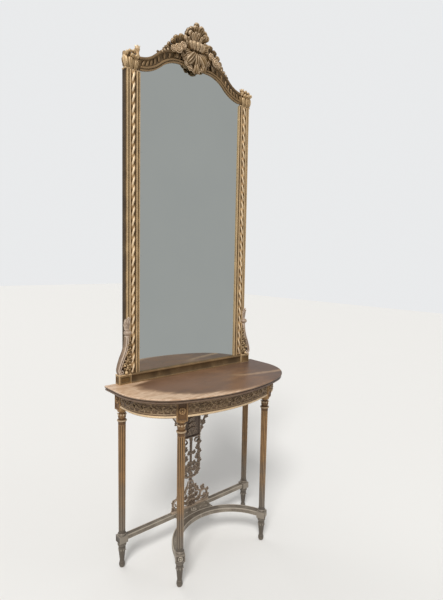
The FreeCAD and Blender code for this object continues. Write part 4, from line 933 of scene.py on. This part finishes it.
# %% Trailing roses
roses = bmesh.new()
for x, z, size, depth in ((108, 2384, 1.15, 168), (82, 2404, 0.95, 167), (132, 2378, 0.85, 171)):
    put(roses, rose, facing(x, depth, z, x * 0.4, 8, size, yaw=x * 0.12))
heap(roses, broad, [
    (64, 2416, -16, 0.9), (82, 2420, 8, 1.0), (100, 2410, 30, 1.0), (118, 2396, 44, 0.85),
    (136, 2382, 56, 0.75), (154, 2368, 62, 0.6)], 182)
heap(roses, petal, [
    (84, 2388, 200, 0.8), (104, 2372, 170, 0.7), (66, 2400, 215, 0.7), (148, 2372, 66, 0.6),
    (168, 2358, 64, 0.5)], 178)
for x, z, size in ((178, 2358, 0.9), (190, 2349, 0.8), (160, 2366, 0.7), (98, 2402, 0.7)):
    put(roses, ball(8, 12, 8), facing(x, 174, z, size=size))
put(roses, petal, facing(196, 184, 2332, 40, 0, 0.6))
pair("crest_roses", roses, CREST_GOLD, "frame_gilt", dusk=painted_depth_shade(160, 188, 0.75, 0.08))

# %% [markdown]
# Plinth
#
# The glass stands on a low plinth with a bead along its top edge. Its end blocks carry a sunk panel
# in a rounded frame; inset and a push inwards make such a panel from one face.

# %% Plinth
TABLE, RAIL_END = 860.0, 342


def plinth_section():
    foot = [(0, 0), (0, 36.4), (3, 37), (6, 36.2), (7.5, 34.6)]
    face = [(9, 34), (33, 34), (34.5, 35)]
    top_bead = [(36, 36.4), (38.4, 37), (41, 36.6), (43, 35.4), (45, 32)]
    return [(-z, out) for z, out in foot + face + top_bead + [(45, 0)]]


plinth = bmesh.new()
draw(plinth, plinth_section(), [Vector((x, WALL, TABLE)) * MM for x in (-RAIL_END, -170, 0, 170, RAIL_END)])
finish_piece("moulded", "plinth_rail", plinth, HEAD_BRONZE, "frame_gilt", sharp=38)


def panelled_block(low, high, margin, sink, faces):
    """A box whose named faces carry a sunk panel in a rounded frame."""
    bm = box(low, high)
    bead = margin * 0.16
    for direction in faces:
        bm.normal_update()
        face = max(bm.faces, key=lambda f: f.normal.dot(Vector(direction)) * (1 + f.calc_area()))
        for width, depth in ((margin * 0.35, 0.0), (margin * 0.2, bead), (margin * 0.15, 0),
                             (margin * 0.3, -bead - sink), (0.8, 0)):
            bmesh.ops.inset_region(bm, faces=[face], thickness=width * MM, depth=depth * MM,
                                   use_even_offset=True)
    shortest = min(b - a for a, b in zip(low, high)) * MM
    soften(bm, [e for e in bm.edges if e.calc_length() > 0.6 * shortest
                and len(e.link_faces) == 2 and e.calc_face_angle(0) > 1.4], 1.6, 2)
    return cast(bm)


block = bmesh.new()
put(block, panelled_block((RAIL_END, 171, TABLE), (402, WALL, 902), 11, 2, ((0, -1, 0), (1, 0, 0))))
put(block, cushion((RAIL_END, 169.5, 900), (404, BACK, PLINTH_TOP), 2, 2))
pair("plinth_block", block, FRAME_GOLD, "frame_gilt", sharp=30)

# %% [markdown]
# Side brackets
#
# A C-scroll climbs from the end of the plinth to a round knob beside the upright, and a slim bud
# rises from the knob. Leaves and two small balls fill the corner between scroll and upright and
# leave gaps that show the wall.

# %% Side brackets
KNOB_X, KNOB_Z = 360, 1093

bracket = bmesh.new()
edge_line = through([(394, 908), (400, 924), (395, 946), (384, 976), (372, 1006), (364, 1038), (360, 1076)],
                    5, 180)
double_bead = [
    (-9, -14), (-9, 6), (-7, 10), (-3.5, 11.5), (-1, 9), (0, 6.5), (1, 9), (3.5, 11.5), (7, 10), (9, 6),
    (9, -14)]
draw(bracket, double_bead, edge_line, 0.85, 1.05, 0.9)
draw(bracket, oval(10, 22), spiral((389, 917), 11, 4, 40, -380, 24, 182), 1, 0.9, 0.7)
put(bracket, ball(16, 24, 16), at(KNOB_X, 176, KNOB_Z, size=(1.12, 1.05, 0.85)))
put(bracket, lathe([(7, -3), (10, -3), (11.5, -1), (11.5, 1), (10, 3), (7, 3)], 24),
    at(KNOB_X, 180, KNOB_Z - 15))
bud_leaf = leaf(66, 22, lift=2, curl=34, cup=-0.34, notch=0.22, wall=3, rows=18, bend=3, blunt=0.6)
for x, lean, size, depth in ((360, 0, 0.9, 172), (366, 7, 0.76, 177), (355, -5, 0.7, 175)):
    put(bracket, bud_leaf, facing(x, depth, KNOB_Z + 12, lean, 0, size))
put(bracket, bud_leaf, facing(357, 171, 1136, -18, 0, 0.4))
# Painted shade darkens the bracket towards the back.
pair("bracket", bracket, GREYED_GOLD, "frame_gilt", dusk=painted_depth_shade(184, 196, 0.6))

# %% Bracket leaves
leaves = bmesh.new()
fill_leaf = lobed_leaf(34, 26, 6, 70)
for k in range(8):
    put(leaves, fill_leaf, facing(358 - 0.5 * k, 174, 908 + 19 * k, 16 - 40 * (k % 2), 0, 0.84 - 0.04 * k))
for k in range(7):
    put(leaves, fill_leaf, facing(371 - 1.6 * k, 176, 912 + 19 * k, -26 + 44 * (k % 2), 0, 0.92 - 0.04 * k))
scatter(leaves, fill_leaf, [
    (380, 912, -20, 0.9), (384, 932, -24, 0.8), (379, 950, 20, 0.8), (374, 972, -14, 0.7)], 182)
stem = through([(360, 906), (380, 930), (364, 956), (374, 980), (358, 1010), (356, 1060)], 5, 186)
draw(leaves, oval(7, 14, 8), stem, 1, 0.9, 0.6)
put(leaves, ball(8, 14, 9), facing(370, 168, 914))
put(leaves, ball(5, 12, 8), facing(376, 170, 946))
# Painted shade darkens the leaves towards the back, and a painted highlight lightens their front.
pair("bracket", leaves, FRAME_GOLD, "frame_gilt", "leaves", replace=False, dusk=painted_depth_shade(166, 177, 1.3, 0.15))

# %% [markdown]
# Legs
#
# All four legs are one form: a panelled block, a leafy capital, a fluted shaft, a lower block and a
# tapered foot with a round toe. The front pair is turned to the curve of the apron. A rosette fills
# the panel of each block that shows.

# %% Leg members
BLOCK_FOOT, UNDERSIDE, LOWER_TOP, LOWER_FOOT = 749, 840, 154, 122
SHAFT_TOP, SHAFT_FOOT = 692, 168
BLOCK_HALF, BLOCK_MIDDLE = 24, (BLOCK_FOOT + UNDERSIDE) / 2
LOWER_HALF, LOWER_MIDDLE = 21, (LOWER_TOP + LOWER_FOOT) / 2
FRONT_LEG_X, FRONT_LEG_Y, FRONT_TURN = 256, -96.1, 27
BACK_LEG_X, BACK_LEG_Y = 388.5, 175


def fluted_section(radius=17.0, flutes=12, depth=2.0, steps=5):
    """A round section with hollows; each hollow ends in a fine ridge."""
    points = []
    for k in range(flutes):
        for step in range(steps):
            share = step / steps
            angle = 2 * pi * (k + share * 0.82) / flutes
            reach = radius - depth * sin(pi * share)
            points.append((reach * cos(angle), reach * sin(angle)))
    return points


def rosette(radius):
    """A flat round flower that faces +Z."""
    bm = bmesh.new()
    put(bm, lathe([
        (0, 0), (radius, 0), (radius, 1.6), (radius * 0.9, 2.4), (radius * 0.8, 1.4), (0, 1.4)], 24))
    petal = leaf(radius * 0.72, radius * 0.56, lobes=0, lift=14, curl=24, cup=-0.3, wall=1.2, rows=7,
                 across=6)
    for k in range(8):
        put(bm, petal, at(turn=45 * k) @ at(0, radius * 0.16, 0.6))
    put(bm, ball(radius * 0.26, 12, 8), at(z=2.4))
    return cast(bm)


def leg_form(panels):
    bm = bmesh.new()
    head, lower = BLOCK_HALF, LOWER_HALF
    put(bm, panelled_block((-head, -head, BLOCK_FOOT), (head, head, UNDERSIDE), 10, 1.6, panels))
    put(bm, lathe([
        (0, 749), (16, 749), (19.5, 747.5), (21, 744.5), (20.6, 741.5), (18, 739.5), (14.6, 737.5),
        (13.6, 734.5), (14, 731), (16.5, 726), (18, 721), (18, 715), (16.5, 710), (15, 707), (14.6, 704.5),
        (17.5, 703), (20.6, 701), (21, 698.5), (20.4, 696), (17.6, 694), (17, 680), (16.6, 678), (0, 678)]))
    draw(bm, fluted_section(), upright(0, 0, SHAFT_TOP, SHAFT_FOOT, 6), 1, 0.945, 0.89)
    put(bm, lathe([
        (0, 182), (15.1, 182), (15.1, 168), (17, 166.5), (19, 164.5), (19.4, 162), (19, 159.5), (17.2, 158),
        (18.6, 156), (16, 154), (0, 154)]))
    put(bm, panelled_block((-lower, -lower, LOWER_FOOT), (lower, lower, LOWER_TOP), 7, 1.2, panels))
    put(bm, lathe([
        (0, 122), (16, 122), (18, 120), (20, 116), (20.4, 112.5), (20, 109), (18.5, 106.5), (14.5, 105),
        (15.2, 101), (16.5, 97), (16.2, 90), (10.2, 32), (10.2, 30), (11.5, 27.5), (11.5, 26), (13, 21),
        (13.6, 15.6), (13.4, 9.1), (11.5, 3), (9, 0), (0, 0)]))
    foot_leaf = leaf(24, 12, lobes=0, lift=8, curl=-10, cup=-0.3, rows=8, across=6)
    for k in range(8):
        put(bm, foot_leaf, at(turn=45 * k) @ facing(0, -14, 104, 180, 6))
    return cast(bm)


def capital_form():
    """The leaves and beads round a capital."""
    bm = bmesh.new()
    cup_leaf = leaf(27, 14, lobes=0, lift=8, curl=40, cup=-0.3, wall=2, rows=12, across=6, bend=3, blunt=0.5)
    for k in range(8):
        put(bm, cup_leaf, at(turn=45 * k) @ facing(0, -15, 704))
        put(bm, ball(2.6, 8, 5), at(turn=45 * k + 22.5) @ facing(0, -19.6, 698.5))
    put(bm, lathe([(14, 704), (21.4, 702), (21.6, 697), (17, 694.5), (14, 694.5)]))
    return cast(bm)


def set_form(kind, base, form, place, material, slot, **how):
    """A piece that is one form at a place."""
    piece = bmesh.new()
    put(piece, form, place)
    finish_piece(kind, base, piece, material, slot, **how)


def leg(name, x, y, turn, form):
    """One leg and its capital; gives back the place where it stands."""
    stand = at(x, y, 0, turn)
    set_form("carved", name, form, stand, TABLE_GOLD, "table_gilt", sharp=30)
    set_form("capital", name, capital, stand, CAPITAL_GILT, "table_gilt", replace=False)
    return stand


def add_rosette(name, stand, half_block, height, radius, material=TABLE_GOLD, slot="table_gilt"):
    set_form("carved", name, rosette(radius), stand @ facing(0, -half_block, height), material, slot)


capital = capital_form()
front_form, back_form = leg_form([(0, -1, 0)]), leg_form([(1, 0, 0), (-1, 0, 0)])
for side, sign in (("right", 1), ("left", -1)):
    stand = leg(f"leg_front_{side}", sign * FRONT_LEG_X, FRONT_LEG_Y, sign * FRONT_TURN, front_form)
    add_rosette(f"patera_front_{side}", stand, BLOCK_HALF, BLOCK_MIDDLE, 15)
    add_rosette(f"lower_patera_{side}", stand, LOWER_HALF, LOWER_MIDDLE, 11, PALE_GILT, "greyed_gilt")
    stand = leg(f"leg_back_{side}", sign * BACK_LEG_X, BACK_LEG_Y, 0, back_form)
    add_rosette(f"patera_back_{side}", stand @ spin(sign * 90), BLOCK_HALF, BLOCK_MIDDLE, 15)
print("legs", len(front_form.polygons), "faces each")

# %% [markdown]
# Apron carving
#
# The apron runs as a wide arc in front and a tighter arc round each side. Its scrolling foliage is
# carved flat first, with X along the apron, and then bent round it point by point. This keeps the
# scrolls evenly spaced where the curve tightens.

# %% Apron line
FRONT_RADIUS, FRONT_CENTRE = 733.3, 569.3
SIDE_RADIUS, SIDE_X, SIDE_Y = 214.0, 195.0, 88.0
JOIN = radians(22.06)
FRONT_RUN = FRONT_RADIUS * JOIN
SIDE_RUN = SIDE_RADIUS * (pi / 2 - JOIN)
APRON_FOOT, FRIEZE = 765.0, 803.0


def apron_place(run):
    """The place on the apron's face at a run from its middle: X along, Y up, Z outward."""
    side, run = (1 if run >= 0 else -1), abs(run)
    if run <= FRONT_RUN:
        angle = run / FRONT_RADIUS
        x, y = FRONT_RADIUS * sin(angle), FRONT_CENTRE - FRONT_RADIUS * cos(angle)
    elif run <= FRONT_RUN + SIDE_RUN:
        angle = JOIN + (run - FRONT_RUN) / SIDE_RADIUS
        x, y = SIDE_X + SIDE_RADIUS * sin(angle), SIDE_Y - SIDE_RADIUS * cos(angle)
    else:
        angle = pi / 2
        x, y = SIDE_X + SIDE_RADIUS, SIDE_Y + run - FRONT_RUN - SIDE_RUN
    turn = Matrix.Rotation(side * angle, 4, "Z") @ spin(90, "X")
    return Matrix.Translation(Vector((side * x, y, 0)) * MM) @ turn


def wrap(bm):
    """Bends a carving that was made on the front plane round the apron."""
    for vert in bm.verts:
        run, back, up = vert.co
        vert.co = apron_place(run / MM) @ Vector((0, up, -back))


def along_apron(first, last, height, step=12):
    """Places along the apron for a moulding: its across runs down, its out faces away."""
    count = round((last - first) / step)
    return [apron_place(first + (last - first) * k / count) @ at(0, height, 0, -90)
            for k in range(count + 1)]


# %% Foliage
scroll_leaf = leaf(17, 12, lobes=2, lift=8, curl=34, cup=-0.28, wall=1.8, rows=10, across=6)
frieze_flower = bloom(7, rings=2)


def scroll_unit(bm, x, flip):
    """One curl of the foliage: a spiral stem, a flower at its heart and leaves round it."""
    draw(bm, oval(4.4, 4.2, 6), spiral((x, FRIEZE), 13, 6, -90 * flip, 330 * flip, 20, -0.6), 1, 0.85, 0.5)
    put(bm, frieze_flower, facing(x, -0.6, FRIEZE))
    for lean, reach in ((30, 8), (110, 9), (190, 8), (280, 9)):
        turned = radians(lean)
        put(bm, scroll_leaf, facing(x + reach * sin(turned), -0.4, FRIEZE + reach * cos(turned),
                                    lean + 40 * flip))
    put(bm, scroll_leaf, facing(x + 19, -0.4, FRIEZE - 9 * flip, 50 + 40 * flip, 0, 1.1))
    put(bm, scroll_leaf, facing(x + 19, -0.4, FRIEZE + 9 * flip, -50 - 40 * flip))


def foliage(first, last, pitch=41):
    bm = bmesh.new()
    count = round((last - first) / pitch)
    for k in range(count):
        scroll_unit(bm, first + (last - first) * (k + 0.5) / count, 1 if k % 2 else -1)
    wave = [(first + (last - first) * k / (count * 2), FRIEZE + (9 if k % 4 < 2 else -9) * (k % 2))
            for k in range(count * 2 + 1)]
    draw(bm, oval(3.6, 3.6, 6), through(wave, 4, -0.3))
    wrap(bm)
    for height in (833.5, 823, 781.0):
        put(bm, mould([(-1.8, -1), (-1.8, 1.2), (0, 2.4), (1.8, 1.2), (1.8, -1)],
                      along_apron(first, last, height)))
    return bm


bead_section = [(5, -8), (5, -2.4), *half_round(0, -2, 5, 8)[1:-1], (-5, -2.4), (-5, -8)]
for name, first, last in (("front", -247, 247), ("right", 297, 598), ("left", -598, -297)):
    finish_piece("foliage", name, foliage(first + 3, last - 3), APRON_LEAF, "table_gilt", replace=False)
    edge = bmesh.new()
    put(edge, mould(bead_section, along_apron(first, last, APRON_FOOT + 5)))
    finish_piece("moulded", f"apron_bead_{name}", edge, CREAM_GOLD, "table_gilt", sharp=38)
print("apron carving ready")

# %% [markdown]
# Stretchers
#
# Two curved arms and a straight rail tie the legs together. Each has a bead along both top edges.
# Between them lies a plate with a flat flower and leaves.

# %% Stretchers
STRETCHER_FOOT, PLATE_TOP = 130.0, 148
ARM_RADIUS, ARM_CENTRE, ARM_REACH = 265.5, -166.5, 281.5
UPWARD = (0, 0, 1)


def stretcher_section(half):
    edge = [(half - 0.5, 17), (half - 1.6, 19.2), (half - 4, 20), (half - 6.2, 18.8), (half - 7.2, 16.8),
            (half - 8.6, 16.8), (half - 10.5, 17)]
    return ([(half - 0.6, 0), (half, 2), (half, 15), *edge] + [(-x, z) for x, z in reversed(edge)]
            + [(-half, 15), (-half, 2), (0.6 - half, 0)])


def arm_point(angle):
    turned = radians(angle)
    return Vector((ARM_RADIUS * sin(turned), ARM_CENTRE + ARM_RADIUS * cos(turned),
                   STRETCHER_FOOT)) * MM


arm = bmesh.new()
draw(arm, stretcher_section(20), [arm_point(74 * k / 30) for k in range(31)], outward=UPWARD)
pair("stretcher_arm", arm, PALE_GILT, "greyed_gilt", sharp=30)

rail = bmesh.new()
line = [Vector((x, BACK_LEG_Y, STRETCHER_FOOT)) * MM for x in (-372, -186, 0, 186, 372)]
draw(rail, stretcher_section(15), line, outward=UPWARD)
finish_piece("moulded", "stretcher_back", rail, PALE_GILT, "greyed_gilt", sharp=30)

plate = bmesh.new()
arc = [(x, ARM_CENTRE + sqrt(ARM_REACH ** 2 - x ** 2)) for x in range(-96, 97, 16)]
thick_outline(plate, [(x, y, 131) for x, y in arc + [(100, 162), (-100, 162)]], (0, 0, 17.6))
put(plate, rosette(15), at(0, 139, PLATE_TOP))
flat_leaf = leaf(34, 17, lobes=2, lift=3, curl=10, cup=-0.25, wall=2, rows=12, across=6)
for x, y, turn, size in ((16, 139, -90, 1), (46, 136, -105, 1), (58, 150, -80, 0.8), (12, 150, -60, 0.5),
                         (12, 129, -118, 0.5), (80, 130, -150, 0.7)):
    for sign in (1, -1):
        put(plate, flat_leaf, at(sign * x, y, PLATE_TOP, sign * turn, size))
finish_piece("carved", "stretcher_platform", plate, PALE_GILT, "greyed_gilt", sharp=40)
print("stretchers ready")

# %% [markdown]
# Splat
#
# An open splat rises from the back stretcher to the rail. Volutes and leaves make its base, a turned
# post between two scrolls its middle. Its head is a sunk panel with a stack of leaves and three
# beads, and a leafy ear at each side.

# %% Splat base
SPLAT_Y = 170.0
SCROLL_X, SCROLL_Z = 82, 195


def leaf_stack(bm, steps, spread):
    """Three leaves side by side at each height."""
    for z, size in steps:
        scatter(bm, base_leaf, [(0, z, lean, size) for lean in (-spread, 0, spread)], 166)


base = bmesh.new()
put(base, cushion((-118, 161, 150), (118, 179, 160), 2.5, 2))
base_leaf = lobed_leaf(38, 27, 4, 70)
for sign in (1, -1):
    curl = spiral((sign * SCROLL_X, SCROLL_Z), 31, 11, 90 - sign * 200, sign * 470, 40, SPLAT_Y)
    draw(base, oval(11, 17), curl, 0.95, 0.9, 0.6)
    put(base, bloom(11), facing(sign * SCROLL_X, 163, SCROLL_Z))
    climb = through([(sign * 62, 219), (sign * 40, 232), (sign * 24, 256), (sign * 13, 289)], 6, SPLAT_Y)
    draw(base, oval(11, 17), climb, 0.9, 0.8, 0.6)
    scatter(base, base_leaf, [
        (100, 166, 40, 0.8), (106, 200, 10, 0.7), (70, 224, 30, 0.8), (46, 168, 8, 0.9), (38, 196, -18, 0.9),
        (34, 226, 20, 0.8), (58, 170, -30, 0.8), (26, 168, -10, 0.8), (22, 246, 24, 0.7)], 169, side=sign)
draw(base, oval(24, 16, 12), through([(0, 158), (0, 200), (0, 245), (0, 290)], 4, SPLAT_Y), 1.1, 0.8, 0.6)
leaf_stack(base, ((160, 1.05), (190, 0.95), (222, 0.85), (252, 0.75)), 32)
finish_piece("carved", "splat_base", base, SPLAT_GILT, "greyed_gilt")

# %% Splat post and scrolls
post = bmesh.new()
put(post, lathe([
    (0, 290), (9, 290), (10.5, 294), (8, 299), (6, 305), (11, 309), (11.6, 312.5), (11, 316), (6.5, 320),
    (6, 330), (6.5, 410), (7.5, 500), (9.5, 508), (10, 513), (8, 520), (0, 520)], 24),
    at(0, SPLAT_Y))
for k in range(6):
    put(post, base_leaf, at(0, SPLAT_Y, 0, 60 * k) @ facing(0, -5, 318, size=0.55))
finish_piece("turned", "splat_post", post, SPLAT_GILT, "greyed_gilt", sharp=38)

scroll = bmesh.new()
line = through([(13, 312), (30, 315), (45, 330), (52, 356), (52, 410), (49, 470), (52, 519)], 5, SPLAT_Y)
draw(scroll, oval(13, 17), line, 0.8, 1, 1)
draw(scroll, oval(7, 14, 8), spiral((35, 498), 16, 4, 0, 400, 24, SPLAT_Y), 1, 0.9, 0.6)
scatter(scroll, base_leaf, [
    (40, 330, 20, 0.8), (44, 352, -24, 1.0), (48, 376, 14, 0.8), (44, 400, -22, 1.0), (48, 424, 12, 0.8),
    (44, 450, -20, 0.9), (48, 474, 10, 0.8), (24, 322, 60, 0.8), (20, 340, -10, 1.0), (12, 372, 16, 0.8),
    (12, 430, 18, 0.7)], 167)
pair("splat_scroll", scroll, SPLAT_GILT, "greyed_gilt")

# %% Splat panel and ears
panel = bmesh.new()
put(panel, panelled_block((-56, 162, 520), (56, 179, 795), 12, 2, [(0, -1, 0)]))
leaf_stack(panel, ((536, 1.2), (568, 1.0), (600, 0.8)), 26)
for z in (636, 650, 662):
    put(panel, ball(5 - (z - 636) * 0.06, 10, 7), facing(0, 163, z))
finish_piece("carved", "splat_panel", panel, SPLAT_GILT, "greyed_gilt", sharp=38)

ear = bmesh.new()
line = through([(60, 536), (68, 566), (82, 598), (98, 626), (112, 650), (112, 700), (112, 778)], 6, SPLAT_Y)
draw(ear, oval(9, 17), line, 0.6, 0.9, 1.1)
draw(ear, oval(7, 15, 8), spiral((93, 650), 15, 4, 10, 420, 24, SPLAT_Y), 1, 0.9, 0.6)
scatter(ear, base_leaf, [
    (62, 548, 12, 0.7), (66, 580, -20, 0.7), (72, 574, 34, 0.7), (88, 606, 44, 0.7), (74, 620, 6, 0.8),
    (76, 664, 10, 0.85)], 168)
thick_outline(ear, [(54, 177, 636), (110, 177, 652), (110, 177, 778), (54, 177, 778)], (0, -11, 0))
pair("splat_ear", ear, SPLAT_GILT, "greyed_gilt")
print("splat ready")

# %% [markdown]
# Floor and backdrop
#
# The floor keeps the shadow; behind it a pale world closes the view.

# %% Floor and world
FLOOR_FRONT, FLOOR_HALF = 2.6, 12


def pale_floor():
    material, kit, surface, _ = new_material("pale_floor")
    kit.feed(surface, {"Base Color": rgb(226, 224, 220), "Roughness": 0.8})
    bm = bmesh.new()
    bmesh.ops.create_grid(bm, x_segments=1, y_segments=1, size=FLOOR_HALF)
    bmesh.ops.translate(bm, vec=(0, FLOOR_HALF - FLOOR_FRONT, 0), verts=bm.verts)
    floor = bpy.data.objects.new("floor", pour(bm, "floor"))
    floor.data.materials.append(material)
    bpy.context.collection.objects.link(floor)


pale_floor()
world = scene.world or bpy.data.worlds.new("studio")
scene.world = world
world.use_nodes = True
world.node_tree.nodes.clear()
sky = Shader(world.node_tree)
seen, glossy = (sky.node("LightPath", output=ray) for ray in (0, 3))
strength = 0.47 + seen * 0.41 - glossy * 0.04
glow = sky.node("Background", {"Color": (0.93, 0.94, 0.95, 1), "Strength": strength})
sky.feed(world.node_tree.nodes.new("ShaderNodeOutputWorld"), {"Surface": glow})
print("world ready")
